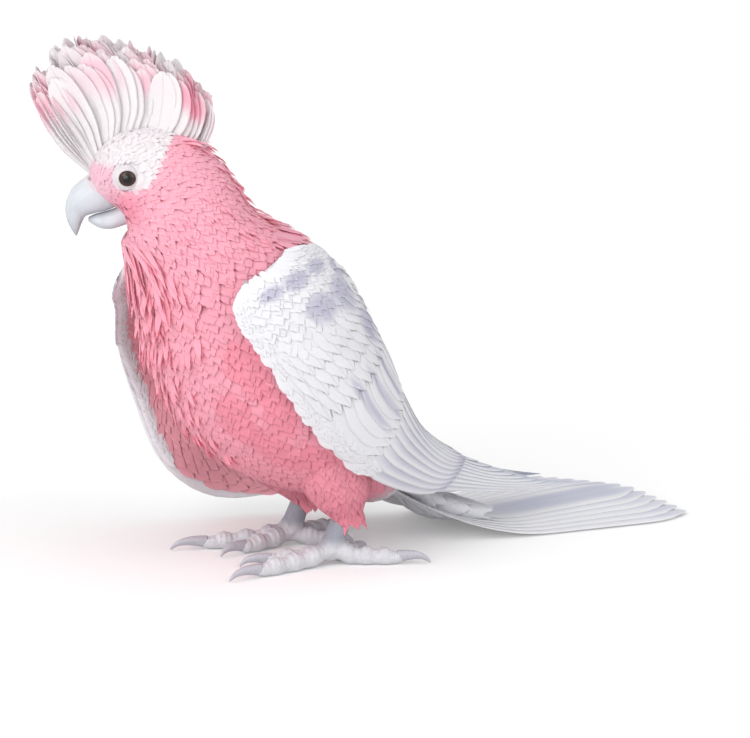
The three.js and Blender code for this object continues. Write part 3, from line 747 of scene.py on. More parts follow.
for number, (name, (start, end, low_angle, high_angle, fray, vary)) in enumerate(COAT_PARTS.items()):
    rng = np.random.default_rng(100 + number)
    t, angle = scatter(body_point, (start, end), np.radians([low_angle, high_angle]),
                       lambda ring, round_it: ROOM_SHARE * body_length(ring, round_it) ** 2)
    length = body_length(t, angle) * rng.uniform(0.85, 1.15, len(t))
    length = up_to_the_eye(t, angle, length)
    t, angle, length = t[length > 0], angle[length > 0], length[length > 0]
    width = length * WIDTH_SHARE * rng.uniform(0.85, 1.1, len(t))
    high = rng.uniform(-vary, vary, len(t)) * MM
    columns = 7 if name == "coat_head" else 11
    body_coat(name, t, angle, length, width, high, rng, fray=fray, columns=columns, tip=0.35, point=0.18,
              rise=3.1, turn=rng.normal(0, 0.1, len(t)))

# ---------------------------------------------------------------- loose feathers
# Longer, narrower feathers that stand off the coat where the bird ruffles it: down the throat and the
# breast, at the nape and on the left of the neck.
LOOSE = [
    # ring range, angles, how many, length, and how far the tips stand out in millimetres
    (7.6, 10.6, 145, 215, 110, 13, 3.0),
    (5.8, 8.4, 170, 222, 90, 14, 2.2),
    (8.4, 11.2, -30, 30, 110, 11, 2.6),
    (8.4, 10.4, 40, 120, 60, 9, 0.8),
]
for number, (start, end, low_angle, high_angle, count, size, out) in enumerate(LOOSE):
    rng = np.random.default_rng(200 + number)
    t = rng.uniform(start, end, count)
    angle = np.radians(rng.uniform(low_angle, high_angle, count))
    length = size * rng.uniform(0.8, 1.2, count) * MM
    high = out * rng.uniform(0.2, 1, count) * MM
    body_coat("coat_loose_%d" % (number + 1), t, angle, length, length * 0.24, high, rng, fray=0.06,
              tip=0.2, point=0.2, rise=1.4, columns=9, turn=rng.normal(0, 0.16, count))

# ---------------------------------------------------------------- thighs' coat
# Soft rose feathers clothe each thigh. They are rooted all round it and hang one over the next down
# to the heel, where the bare shank comes out of them.
for number, word in enumerate(LEGS):
    rng = np.random.default_rng(300 + number)
    t, angle = scatter(lambda share, round_it, grow: thigh_point(word, share, round_it, grow),
                       (0.05, 0.97), (0, 2 * np.pi), lambda share, round_it: (3 * MM) ** 2 + 0 * share)
    length = (13 - 4 * t) * rng.uniform(0.85, 1.15, len(t)) * MM
    down_it = THIGH_TOP[2] * MM * 0.75

    def place(x, y, height):
        radius = each(along(THIGH, t * (len(THIGH) - 1))[..., 0]) * MM
        return thigh_point(word, each(t) + y / down_it, each(angle) + x / radius, height)

    sizes = (length, length * 0.5, -COAT_DEPTH * 0.75 * MM, rng.uniform(0.1, 0.16, len(t)) * MM)
    small_coat("coat_thigh_" + word, place, ((angle / (2 * np.pi)) % 1, t), sizes,
               PINK_BELLY + (PINK_THIGH - PINK_BELLY) * t[:, None], BODY_SHADES, rng, pale=(0.92, 0.1, 0),
               turn=rng.normal(0, 0.12, len(t)), columns=11, fray=0.07, tip=0.35, point=0.2, rise=2.6)

# ---------------------------------------------------------------- crest
# Broad soft feathers that the bird can raise: seven rows from the forehead to the hind crown, white at
# the base and washed with rose towards their ends, deeper behind.
# ahead of and above the head's middle, angle above straight ahead, bend, length, and rows' share
CREST = np.array([
    [13.5, 1.5, 52, -6, 47, 0.35],
    [12.5, 6, 67, 3, 47, 0.75],
    [10, 11, 88, 12, 49, 1],
    [6, 14, 97, 14, 43, 1],
    [0, 16, 102, 14, 39, 1],
    [-6, 16, 109, 14, 36, 1],
    [-12, 14.5, 117, 14, 32, 1],
    [-17, 11.5, 123, 14, 29, 0.8],
    [-21, 7, 129, 14, 26, 0.4],
])
CREST_ROWS, CREST_IN_ROW = 7, 26
CREST_ROW_GAP = 5.5
CREST_SPREAD = 0.15
CREST_SHAFT = 0.2 * MM
CREST_WHITE = srgb(247, 243, 245)
CREST_PINK = srgb(252, 212, 224)
CREST_ROSE = srgb(253, 156, 183)
rng = np.random.default_rng(400)
row = np.repeat(np.linspace(-1, 1, CREST_ROWS), CREST_IN_ROW)
at = np.tile(np.linspace(0, len(CREST) - 1, CREST_IN_ROW), CREST_ROWS) + rng.uniform(-0.12, 0.12, len(row))
at = np.clip(at, 0, len(CREST) - 1)
ahead, above, bearing, bend, length, spread = np.moveaxis(along(CREST, at), -1, 0)
row = row * spread + rng.uniform(-0.1, 0.1, len(at))
bearing = np.radians(bearing + rng.normal(0, 2.0, len(at)))
length = length * (1.03 - 0.16 * np.abs(row)) * rng.uniform(0.84, 1.0, len(at)) * MM
roll = np.radians(84 * np.sign(row) * np.abs(row) ** 0.5 + rng.normal(0, 6, len(at)))


def crest_place(x, y, height):
    """Points of the crest's feathers. A shaft's bearing turns steadily with its run, its vane is rolled
    about it, more in the outer rows, and height is off the vane's face."""
    angle = each(bearing) - each(np.radians(bend)) * y / each(length)
    side = each(row) * (CREST_ROW_GAP * MM + CREST_SPREAD * y)
    turn = each(roll)
    fore = x * np.sin(turn) + height * np.cos(turn)
    left = side + x * np.cos(turn) - height * np.sin(turn)
    drop = 1.5 * MM * each(np.abs(row))
    return from_head(
        each(ahead) * MM + y * np.cos(angle) - fore * np.sin(angle),
        left,
        each(above) * MM - drop + y * np.sin(angle) + fore * np.cos(angle),
    )


points, vane, u, x = vanes(crest_place, length, length * 0.24 + 4.5 * MM, 0, 0, rng, rows=14, columns=13,
                           tip=0.6, point=0.04, fray=0.012, camber=0.03, ridge=0.06 * MM, thick=0.12 * MM)
# pink in soft patches beyond the middle of a feather, and rose instead towards the rear
patchy = np.clip(0.55 + 0.6 * np.sin(at * 2.9 + 1.0) + rng.uniform(-0.2, 0.2, len(at)), 0.05, 1)
pink = step(u, 0.5, 0.75) * (1 - 0.7 * step(u, 0.86, 1)) * each(patchy[:, None])
wash = (0.25 + 0.75 * np.clip(at / 7, 0, 1)) * step(at, 4, 7.5)
tint = CREST_WHITE + (CREST_PINK - CREST_WHITE) * pink
tint = tint + (CREST_ROSE - tint) * np.clip(pink * each(wash[:, None]), 0, 1)
maps = {"OFBake": strip_map(len(at), *points.shape[1:3]), "vane": vane}
large_feather = feather_material("large feather", 0.5 * MM, 0.05, CREST_SHAFT)
hand_on(grid_object("crest_feathers", points, True, flip=True, tint=tint, maps=maps), large_feather,
        "white_feather", "crest")

# ---------------------------------------------------------------- eyes
# Dark brown eyes with a wet clear front, each set deep behind two lids and a bare pale ring of
# wrinkled, pebbled skin.
EYE_RADIUS = 5.85 * MM
LID_OPENING = (3.35, 3.05)  # half width and half height
LID_THICK = 0.35
CORNEA = (0.35, 0.5)  # how far it bulges in millimetres, and its reach round the ball in radians
PUPIL_EDGE = (17, 20)  # degrees from the front
IRIS_EDGE = (34, 40)
PEBBLE_SHOULDER = 0.14  # of a pebble: the sloping band at its edge
IRIS_BROWN = srgb(58, 34, 24)
RING_SKIN = srgb(238, 230, 234)


def eye_point(side, radius, angle, out):
    """A point by the eye: out from the head's middle, and at a radius and an angle round the eye."""
    return from_head(radius * np.cos(angle), side * out, EYE_UP * MM + radius * np.sin(angle))


def eye_material():
    """Black pupil, dark brown iris with fine spokes, and dark sclera, under a clear wet coat."""
    material, tree = new_material("eye")
    shader = add_node(tree, "BsdfPrincipled", {
        "Base Color": shaded(tree, noise(tree, 1800), 0.6, 1.3), "Roughness": 0.3,
        "Specular IOR Level": 0.1, "Coat Weight": 0.7, "Coat Roughness": 0.02,
    })
    add_node(tree, "OutputMaterial", {"Surface": shader.outputs[0]})
    return material


def pebbled_material(name, scale, depth, roughness, low):
    """Skin in small raised pebbles, darker in the creases between them: a painted shade of the
    creases. scale is pebbles in a metre, depth is how far they rise, and low is the creases' painted
    shade."""
    material, tree = new_material(name)
    place = add_node(tree, "TexCoord").outputs["Object"]
    cells = add_node(tree, "TexVoronoi", {"Vector": place, "Scale": scale}, feature="DISTANCE_TO_EDGE")
    rise = ranged(tree, cells.outputs["Distance"], from_max=PEBBLE_SHOULDER)
    # painted shade: darker where the pebbles are low, in the creases
    mottle_and_crease_shade = maths(tree, "MULTIPLY_ADD", noise(tree, 0.35 * scale), 0.5, maths(tree, "MULTIPLY", rise, 0.5))
    shader = add_node(tree, "BsdfPrincipled", {
        "Base Color": shaded(tree, mottle_and_crease_shade, low, 1.12), "Roughness": roughness,
        "Subsurface Weight": 0.1, "Subsurface Radius": (0.001, 0.0006, 0.0005),
    })
    bumped(tree, shader, rise, depth)
    add_node(tree, "OutputMaterial", {"Surface": shader.outputs[0]})
    return material


ring_skin = pebbled_material("bare eye skin", 2600, 0.15 * MM, 0.6, 0.9)
wet_eye = eye_material()
for side, word in ((1, "left"), (-1, "right")):
    from_front = np.linspace(0, np.pi, 40)[:, None]
    cornea = CORNEA[0] * MM * np.exp(-(from_front / CORNEA[1]) ** 2)
    radius, out = EYE_RADIUS * np.sin(from_front), EYE_RADIUS * np.cos(from_front) + cornea
    places = eye_point(side, radius, RING[None, ::2], EYE_SIDE * MM + out)
    part = np.degrees(from_front)[..., None] + 0 * places[..., :1]
    shade = IRIS_BROWN * (0.02 + 0.98 * step(part, *PUPIL_EDGE)) * (1 - 0.75 * step(part, *IRIS_EDGE))
    eye = grid_object("eyeball_" + word, places, True, flip=side < 0, tint=shade, weld=True)
    hand_on(eye, wet_eye, "eye", "eye_" + word)

    around = RING[None]
    brow = np.clip(np.sin(around), 0, 1)
    opening = MM * np.hypot(LID_OPENING[0] * np.cos(around), LID_OPENING[1] * np.sin(around))
    lip = np.sqrt(EYE_RADIUS ** 2 - opening ** 2)
    # share from the lip to the ring's outer edge, then back underneath
    share = np.concatenate([np.linspace(0, 1, 22), [1]])[:, None]
    folds = 0.14 * MM * np.sin(2 * np.pi * share * 3.4) * np.sin(np.pi * share) ** 0.5
    radius = opening + (BARE_RING * 1.12 * MM - opening) * share
    on_ball = np.sqrt(np.clip(EYE_RADIUS ** 2 - radius ** 2, 0, None))
    outer = (3.0 - 1.6 * share ** 2) * MM
    height = np.maximum(on_ball, outer) + LID_THICK * MM * (1 - share ** 3)
    height = height + folds + 0.35 * MM * brow * (1 - share)
    height[-1] = height[-1] - 2.2 * MM
    inside = [(opening * 0.985, lip + LID_THICK * MM * 0.5), (opening * 1.0, lip - 0.15 * MM)]
    loops = [eye_point(side, r, around, EYE_SIDE * MM + h) for r, h in reversed(inside)]
    places = np.concatenate(loops + [eye_point(side, radius, around + 0 * radius, EYE_SIDE * MM + height)])
    # painted shade: the lids' inner faces, tucked in against the eyeball, and their lip are darker
    dark = np.concatenate([[0.45, 0.6], 1 - 0.35 * np.exp(-(share[:, 0] / 0.08) ** 2)])
    lids = grid_object("eyelids_" + word, places, True, flip=side < 0, tint=RING_SKIN * each(dark))
    hand_on(lids, ring_skin, "leg_skin")

# ---------------------------------------------------------------- bill
# Bone-grey horn: the upper half hooked down over the shorter lower half, each grown in layers that
# show as faint streaks, with a soft bare cere over the nostrils.
# ridge ahead and up, edge ahead and up, half width
UPPER_BILL = np.array([
    [14, 1.5, 3, -9.5, 7.2],
    [18.2, -0.8, 6.8, -12.6, 7.1],
    [22.6, -4, 11, -14.3, 6.5],
    [25.4, -8.4, 15.2, -15.2, 5.4],
    [26.5, -13.4, 18.4, -16.4, 4.1],
    [25.8, -18, 20, -19, 2.8],
    [24.2, -21.6, 21.2, -22, 1.6],
    [22.7, -24, 22.1, -24.2, 0.5],
])
LOWER_BILL = np.array([
    [2.5, -10, 2.5, -19.6, 6.2],
    [6.5, -12.9, 7.5, -21.2, 5.9],
    [10.8, -14.5, 12, -21.2, 5.2],
    [14.7, -15.5, 15.4, -19.6, 4],
    [17.2, -16.6, 17.3, -18.2, 2.6],
])
BILL_HORN = srgb(198, 202, 208)
BILL_DARK = srgb(160, 164, 174)
CERE_SKIN = srgb(226, 216, 222)
BILL_INSIDE = 6  # how far each half runs back into the head
HORN_SUNK = 1.5  # how far the upper horn lies under the cere
NOSTRIL = (0.55, 38)  # ring number and degrees from the ridge


def bill_point(table, t, angle, square, grow=0.0):
    """A point of a bill: its ring is a rounded box, squarer with a smaller power, round the middle
    between ridge and cutting edge. Below ring 0 it runs straight back into the head."""
    ridge_f, ridge_u, edge_f, edge_u, half = np.moveaxis(along(table, t), -1, 0) * MM
    back = np.minimum(t, 0) * BILL_INSIDE * MM
    ridge_f, edge_f = ridge_f + back, edge_f + back
    over_f, over_u = (ridge_f - edge_f) / 2, (ridge_u - edge_u) / 2
    size = np.hypot(over_f, over_u)
    up, out = np.cos(angle), np.sin(angle)
    up, out = np.sign(up) * np.abs(up) ** square, np.sign(out) * np.abs(out) ** square
    grown = 1 + grow / size
    return from_head((ridge_f + edge_f) / 2 + over_f * up * grown, (half + grow) * out * (1 - 0.1 * up),
                     (ridge_u + edge_u) / 2 + over_u * up * grown)


def horn_material():
    """Horn: streaks along the growth, a little flaking, and a soft polish."""
    material, tree = new_material("bill horn")
    stretched = add_node(tree, "Mapping", {"Vector": add_node(tree, "UVMap", uv_map="vane").outputs[0],
                                           "Scale": (1800, 160, 1)})
    streak = add_node(tree, "TexNoise", {"Vector": stretched.outputs[0], "Scale": 1, "Detail": 5})
    streak = streak.outputs["Fac"]
    shader = add_node(tree, "BsdfPrincipled", {
        "Base Color": shaded(tree, streak, 0.84, 1.12), "Roughness": 0.42,
        "Subsurface Weight": 0.15, "Subsurface Radius": (0.0012, 0.0009, 0.0008),
    })
    flakes = maths(tree, "MULTIPLY", noise(tree, 900), 0.5)
    bumped(tree, shader, maths(tree, "ADD", streak, flakes), 0.12 * MM)
    add_node(tree, "OutputMaterial", {"Surface": shader.outputs[0]})
    return material


def closed_piece(name, places, tint, vane=None, flip=True):
    """A closed shell over rings of points, each end drawn together in a pole."""
    tint = np.broadcast_to(tint, places.shape)
    tint = np.concatenate([tint[:1], tint, tint[-1:]])
    maps = None
    if vane is not None:
        maps = {"vane": np.concatenate([vane[:1], vane, vane[-1:]])[None]}
    return grid_object(name, with_ends(places), True, flip, tint=tint, maps=maps, weld=True)


bill_horn = horn_material()
for name, table, power in (("bill_upper", UPPER_BILL, 0.86), ("bill_lower", LOWER_BILL, 0.8)):
    t = np.linspace(-1, len(table) - 1, 100)[:, None]
    angle = RING[None]
    share = np.maximum(t, 0) / (len(table) - 1)
    sunk = HORN_SUNK * (1 - step(t, 0.3, 1.0)) * step(np.cos(angle), -0.2, 0.3) * (name == "bill_upper")
    places = bill_point(table, t, angle, power + 0.14 * share, -sunk * MM)
    shade = BILL_HORN + (BILL_DARK - BILL_HORN) * (0.65 * step(share, 0.55, 1))[..., None]
    # painted shade: each half darker along its lower side
    shade = shade + (BILL_DARK - shade) * (0.35 * np.exp(-((np.cos(angle) + 0.9) / 0.25) ** 2))[..., None]
    vane = np.stack(np.broadcast_arrays(0.006 * np.sin(angle), 0.03 * share), -1)
    bill = closed_piece(name + "_horn", places, shade, vane)
    hand_on(bill, bill_horn, "bill_horn", name)

t = np.linspace(-0.7, 1.3, 60)[:, None]
angle = np.radians(np.linspace(-112, 112, 140))[None]
swelling = 0.9 * np.sqrt(np.clip(1 - ((t - 0.1) / 1.2) ** 2, 0, 1))
swelling = swelling * np.sqrt(np.clip(np.cos(angle / 1.32), 0, 1))
nearby = [((t - NOSTRIL[0]) / 0.26) ** 2 + ((np.degrees(angle) - way * NOSTRIL[1]) / 11) ** 2
          for way in (-1, 1)]
pit = sum(np.exp(-near ** 1.5) for near in nearby)
rim = sum(np.exp(-((np.sqrt(near) - 1.35) / 0.4) ** 2) for near in nearby)
places = bill_point(UPPER_BILL, t, angle, 0.88, (swelling - 1.7 * pit + 0.25 * rim - 0.35) * MM)
# painted shade: the nostril pits near black, for the dark inside the openings
shade = CERE_SKIN * (1 - 0.85 * np.clip(pit * 1.2, 0, 1))[..., None]
cere = grid_object("cere", places, tint=shade, flip=True)
hand_on(cere, pebbled_material("cere", 2600, 0.12 * MM, 0.55, 0.9), "bill_horn")

# ---------------------------------------------------------------- wings
# Each wing is a thin blade of arm and hand under its feathers: small coverts over the arm, rows of
# median and greater coverts, and the long secondaries and primaries, each row overlapping the next.
# The left wing is folded. The right one is lifted off the side, and shows its rose lining.
# y, z and lean of each arc's middle, half width and half height of its ellipse, degrees from the top to
# its upper and its lower edge, thickness, and the right wing's spread and lift
WING = np.array([
    [-60, 129, 62, 40.5, 36, 68, 110, 5, 1, 3],
    [-55, 122, 61, 45.5, 37.5, 44, 123, 8, 1.03, 8],
    [-45.5, 110.5, 58, 50, 39.5, 24, 126, 9, 1.08, 18],
    [-31, 90, 55, 51.5, 41, 14, 124, 8.5, 1.3, 26],
    [-15, 69, 50, 49, 40, 10, 122, 7.5, 1.48, 27],
    [5, 48.5, 40, 42.5, 34, 8, 116, 6, 1.76, 16],
    [33, 32, 24, 33, 23, 8, 107, 4.5, 2.1, 12],
    [68, 21.5, 12, 23.5, 13.5, 9, 99, 3.2, 1.65, 6],
    [104, 14.5, 9, 16.5, 8.5, 12, 90, 2.4, 1.25, 4],
    [135, 10, 7, 12.5, 5.5, 30, 62, 1.4, 1, 3],
])
WING_EDGE = 0.8  # thickness at both edges
WING_TIP = len(WING) - 1
WING_WHITE = srgb(252, 252, 255)
WING_PALE = srgb(238, 240, 247)
WING_GREY = srgb(207, 205, 223)
QUILL_GREY = srgb(218, 221, 234)
# the lining's rose, lighter than its own colour: painted light against the shade it lies in
LINING_ROSE = srgb(255, 184, 196)


def wing_point(word, t, v, height=0.0, inner=False):
    """A point of a wing: at arc t, and at v across it from the upper to the lower edge. The arc is part
    of an ellipse, spread from its upper edge and lifted about it, and height is off its outer face, or
    off its inner face, which lies a rounded thickness within."""
    t, v, height = np.broadcast_arrays(t, v, height)
    y, z, lean, side, top, upper, lower, thick, spread, lift = np.moveaxis(along(WING, t), -1, 0)
    if word == "left":
        spread, lift = 1, 0
    lean, upper, lower, lift = (np.radians(value) for value in (lean, upper, lower, lift))
    angle = upper + (lower - upper) * v
    full = np.sqrt(np.clip(np.sin(np.pi * np.clip(v, 0, 1)), 0, 1))
    off = -height - (WING_EDGE + (thick - WING_EDGE) * full) * MM if inner else height
    across = side * MM * (np.sin(angle) - np.sin(upper)) * spread + off * np.sin(angle)
    over = top * MM * (np.cos(angle) - np.cos(upper)) * spread + off * np.cos(angle)
    x = across * np.cos(lift) - over * np.sin(lift) + side * MM * np.sin(upper)
    up = across * np.sin(lift) + over * np.cos(lift) + top * MM * np.cos(upper)
    x = x if word == "left" else -x
    return np.stack([x, y * MM + np.sin(lean) * up, z * MM + np.cos(lean) * up], -1) + ORIGIN


ARC_STEPS = np.linspace(0, WING_TIP, 181)
wing_run = {}
wing_width = {}
for word in ("left", "right"):
    middle = wing_point(word, ARC_STEPS, 0.5)
    wing_run[word] = np.concatenate([[0], np.cumsum(np.linalg.norm(np.diff(middle, axis=0), axis=-1))])
    lines = wing_point(word, ARC_STEPS[:, None], np.linspace(0, 1, 25)[None])
    wing_width[word] = np.linalg.norm(np.diff(lines, axis=1), axis=-1).sum(1)


def wing_place(word, root_t, root_v, tip_v, length, inner):
    """A place function for feathers rooted at arcs and shares across a wing. They run towards its tip,
    drifting from root_v to tip_v."""
    start = np.interp(root_t, ARC_STEPS, wing_run[word])

    def place(x, y, height):
        t = np.interp(each(start) + y, wing_run[word], ARC_STEPS)
        v = each(root_v) + each(tip_v - root_v) * y / each(length)
        v = v + x / np.interp(t, ARC_STEPS, wing_width[word])
        return wing_point(word, t, v, height, inner)

    return place


def wing_blade(word):
    """The blade under the feathers: rings that run across the outer face and back across the inner one,
    each at a share of the wing's rounded thickness within the outer face. Both edges draw in towards
    the wing's tip."""
    t = np.linspace(0.3, WING_TIP - 0.9, 80)[:, None]
    upper = np.interp(t, [6, 7.2, 8.1], [0.03, 0.25, 0.45])
    lower = np.interp(t, [6.5, 8.1], [0.985, 0.8])
    across = 30
    share = np.concatenate([np.linspace(0, 1, across), np.linspace(1, 0, across)])[None]
    v = upper + (lower - upper) * share
    outer = np.arange(2 * across)[None] < across
    thick = np.interp(t, np.arange(len(WING)), WING[:, 7]) * MM
    depth = WING_EDGE * MM + (thick - WING_EDGE * MM) * np.sqrt(np.clip(np.sin(np.pi * v), 0, 1))
    return wing_point(word, t, v, -np.where(outer, np.interp(t, [5.5, 6.5], [0.35, 0.52]), 0.6) * depth)


def wing_feathers(name, word, root_t, root_v, tip_v, length, width, low, high, rng, shade, small=False,
                  inner=False, **shape):
    """A row of wing feathers as one piece. shade gives the tint from u, x, and the arc and the share
    across the wing."""
    root_t, root_v, tip_v, width = (np.broadcast_to(value, len(length))
                                    for value in (root_t, root_v, tip_v, width))
    place = wing_place(word, root_t, root_v, tip_v, length, inner)
    points, vane, u, x = vanes(place, length, width, low, high, rng, **shape)
    start, root, tip, long, wide = (each(value[:, None])
                                    for value in (root_t, root_v, tip_v, length, width))
    t = np.interp(np.interp(start, ARC_STEPS, wing_run[word]) + u * long, wing_run[word], ARC_STEPS)
    v = root + (tip - root) * u + x * wide / 2 / np.interp(t, ARC_STEPS, wing_width[word])
    tint = shade(u, x, t, v) * rng.uniform(0.98, 1.02, len(length))[:, None, None, None]
    if small:
        bake = bake_map(np.clip(root_v, 0, 1), root_t / WING_TIP, *points.shape[1:3])
    else:
        bake = strip_map(len(length), *points.shape[1:3])
    piece = grid_object(name, points, "thick" in shape, flip=(word == "right") != inner, tint=tint,
                        maps={"OFBake": bake, "vane": vane})
    hand_on(piece, small_feather if small else large_feather,
            "pink_feather" if inner and small else "grey_feather")


def reach(word, roots, tips):
    """The run along a wing from arcs to arcs."""
    return np.interp(tips, ARC_STEPS, wing_run[word]) - np.interp(roots, ARC_STEPS, wing_run[word])


def share_of(word, arc, count, overlap):
    """The width of a feather in a row of count over the whole width of a wing at an arc."""
    return overlap * np.interp(arc, ARC_STEPS, wing_width[word]) / count


def small_roots(word, inner, size, t_range, v_range, room, clear, rng):
    """Roots of small feathers scattered over a face of a wing, and their lengths. size gives a length
    at an arc, and room is a share of its square. Feathers whose tips would hang over the lower edge
    are left out: clear is a share of the length, and a distance more."""
    root_t, root_v = scatter(lambda t, v, height: wing_point(word, t, v, height, inner), t_range, v_range,
                             lambda t, v: room * size(t) ** 2)
    length = size(root_t) * rng.uniform(0.88, 1.12, len(root_t))
    margin = (clear[0] * length + clear[1] * MM) / np.interp(root_t, ARC_STEPS, wing_width[word])
    inside = 1 - root_v > margin
    return root_t[inside], root_v[inside], length[inside]


def covert_length(t):
    """The length of a lesser covert rooted at arc t."""
    return np.interp(t, [0, 1, 2, 2.6], [6, 8.5, 12, 15]) * MM


def lining_length(t):
    """The length of a feather of the lining rooted at arc t."""
    return np.interp(t, [0, 2, 4, 5], [7, 10, 12, 13]) * MM


def quill_shade(grey):
    """The tint of a pale quill, greyer along its middle and beyond its base."""
    def shade(u, x, t, v):
        return WING_WHITE + (grey - WING_WHITE) * (1 - step(np.abs(x), 0.15, 1.0)) * step(u, 0.15, 0.5)

    return shade


def inner_quill_shade(u, x, t, v):
    """The tint of a quill's underside, paler than its outer side."""
    return WING_WHITE + (WING_PALE - WING_WHITE) * (1 - step(np.abs(x), 0.2, 0.9))


def lining_shade(u, x, t, v):
    """The tint of a feather of the lining: darker at its root and lighter at its tip, a painted shade
    where the feathers above cover it.
    """
    return LINING_ROSE * (0.94 + 0.08 * u)


def patched(u, x, t, v):
    """A covert's tint: white, grey inside the patches, and a little paler round its own edge."""
    body = 1 - 0.3 * step(np.maximum(np.abs(x), (u - 0.72) * 3.4), 0.45, 0.95)
    return WING_WHITE + (WING_GREY - WING_WHITE) * body * patchiness(t, v)


# soft grey patches over the coverts: arc, share across, radii of each
PATCHES = [
    (0.95, 0.7, 0.25, 0.11),
    (1.1, 0.48, 0.32, 0.13),
    (1.35, 0.28, 0.28, 0.1),
    (2.05, 0.56, 0.34, 0.11),
    (2.3, 0.36, 0.42, 0.13),
    (2.05, 0.18, 0.3, 0.09),
    (3.15, 0.36, 0.36, 0.1),
    (3.25, 0.18, 0.4, 0.1),
    (4.0, 0.7, 0.7, 0.03),
    (4.2, 0.58, 0.8, 0.025),
    (4.1, 0.46, 0.7, 0.025),
]


def patchiness(t, v):
    """How grey the coverts are at a place: 1 inside the patches, little between them."""
    grey = 0.1
    for arc, share, long, wide in PATCHES:
        grey = np.maximum(grey, np.exp(-(((t - arc) / long) ** 2 + ((v - share) / wide) ** 2) ** 3))
    return grey


PRIMARIES, SECONDARIES, GREATER_COVERTS, MEDIAN_COVERTS, INNER_QUILLS = 10, 13, 14, 16, 15
# each row of median coverts: arc of the roots, share across of the uppermost, and height of the tips
MEDIAN_ROWS = [(2.7, 0.03, 0.45), (2.35, 0.0, 0.58), (2.0, 0.03, 0.7)]
for word in ("left", "right"):
    rng = np.random.default_rng(500 if word == "left" else 600)
    blade = closed_piece("wing_blade_" + word, wing_blade(word), WING_PALE, flip=word == "right")
    hand_on(blade, down_material(), "grey_feather",
            *["wing_%s_%s" % (word, part) for part in ("coverts", "secondaries", "primaries")])

    # order runs from the uppermost feather of a row to the lowest, which in the primaries is the longest
    count = PRIMARIES
    order = np.linspace(0, 1, count)
    tips, roots = 7.25 + 1.72 * order, 4.4 - 0.8 * order
    wing_feathers("primaries_" + word, word, roots, 0.3 + 0.62 * order, 0.2 + 0.62 * order,
                  reach(word, roots, tips), share_of(word, 6.5, count, 2.3) * (1 - 0.2 * order),
                  (-1.5 - 0.2 * order) * MM, (-0.35 - 0.35 * order) * MM, rng, quill_shade(QUILL_GREY),
                  rows=28, columns=11, tip=0.8, rise=1.2, point=0.04, fray=0.003, roll=0.5 * MM,
                  camber=0.01, ridge=0.25 * MM, thick=0.4 * MM)

    count = SECONDARIES
    order = np.linspace(0, 1, count)
    tips = np.interp(order, [0, 0.25, 1], [6.9, 6.95, 6.35])
    roots = 4.1 - 0.1 * order
    wing_feathers("secondaries_" + word, word, roots, 0.04 + 0.86 * order, 0.07 + 0.84 * order,
                  reach(word, roots, tips), share_of(word, 4.6, count, 2.0), (-0.6 - 0.1 * order) * MM,
                  (0.0 - 0.25 * order) * MM, rng, quill_shade(WING_GREY), rows=20, columns=11, tip=0.74,
                  point=0.08, fray=0.006, roll=0.45 * MM, camber=0.012, ridge=0.2 * MM, thick=0.35 * MM)

    count = GREATER_COVERTS
    order = np.linspace(0, 1, count)
    roots, across = 3.3 + 0.15 * order, 0.03 + 0.86 * order
    wing_feathers("greater_coverts_" + word, word, roots, across, across, (41 - 6 * order) * MM,
                  share_of(word, 3.6, count, 2.8), -0.4 * MM, (0.35 - 0.2 * order) * MM, rng, patched,
                  rows=14, columns=11, tip=0.66, point=0.14, fray=0.02, roll=0.38 * MM, camber=0.01,
                  ridge=0.1 * MM, thick=0.3 * MM)

    count = MEDIAN_COVERTS
    order = np.linspace(0, 1, count)
    for row, (arc, first, high) in enumerate(MEDIAN_ROWS):
        across = first + (0.9 - first) * order
        wing_feathers("median_coverts_%s_%d" % (word, row + 1), word, arc, across, across,
                      np.full(count, (26 - 2 * row) * MM),
                      share_of(word, arc + 0.6, count, 2.3) * (1 - 0.4 * step(order, 0.85, 1)), -0.4 * MM,
                      high * MM, rng, patched, rows=12, columns=11, tip=0.6, point=0.2, fray=0.04,
                      roll=0.3 * MM, camber=0.012, ridge=0.08 * MM, thick=0.25 * MM)

    # lesser coverts, scattered over the arm
    root_t, root_v, length = small_roots(word, False, covert_length, (0.02, 2.2), (0.0, 0.96), 0.09,
                                         (0.4, 1), rng)
    wing_feathers("lesser_coverts_" + word, word, root_t, root_v, root_v, length, length * 0.66, -1.3 * MM,
                  rng.uniform(0.55, 0.85, len(length)) * MM, rng, patched, small=True, rows=8, columns=11,
                  tip=0.45, point=0.15, fray=0.05, turn=rng.normal(0, 0.06, len(length)))

    # marginal coverts along the lower edge of both faces, close together on the face that is seen
    for inner in (False, True):
        shown = inner == (word == "right")
        count = 170 if shown else 70
        root_t = 0.1 + 4.6 * (np.arange(count) + rng.uniform(-0.3, 0.3, count) + 0.5) / count
        inset = rng.uniform(0.8, 3.8, count) if shown and inner else rng.uniform(1, 8, count)
        inset = inset if shown else rng.uniform(3.6, 5.2, count)
        root_v = 1 - inset * MM / np.interp(root_t + 0.3, ARC_STEPS, wing_width[word])
        name = "marginal_coverts_%s_%s" % (word, "inner" if inner else "outer")
        wing_feathers(name, word, root_t, root_v, root_v, rng.uniform(7, 11, count) * MM, 5 * MM, -0.6 * MM,
                      (1.1 if inner and shown else 0.45) * MM, rng, patched, small=True, inner=inner,
                      rows=8, columns=9, tip=0.45, point=0.15, fray=0.05)

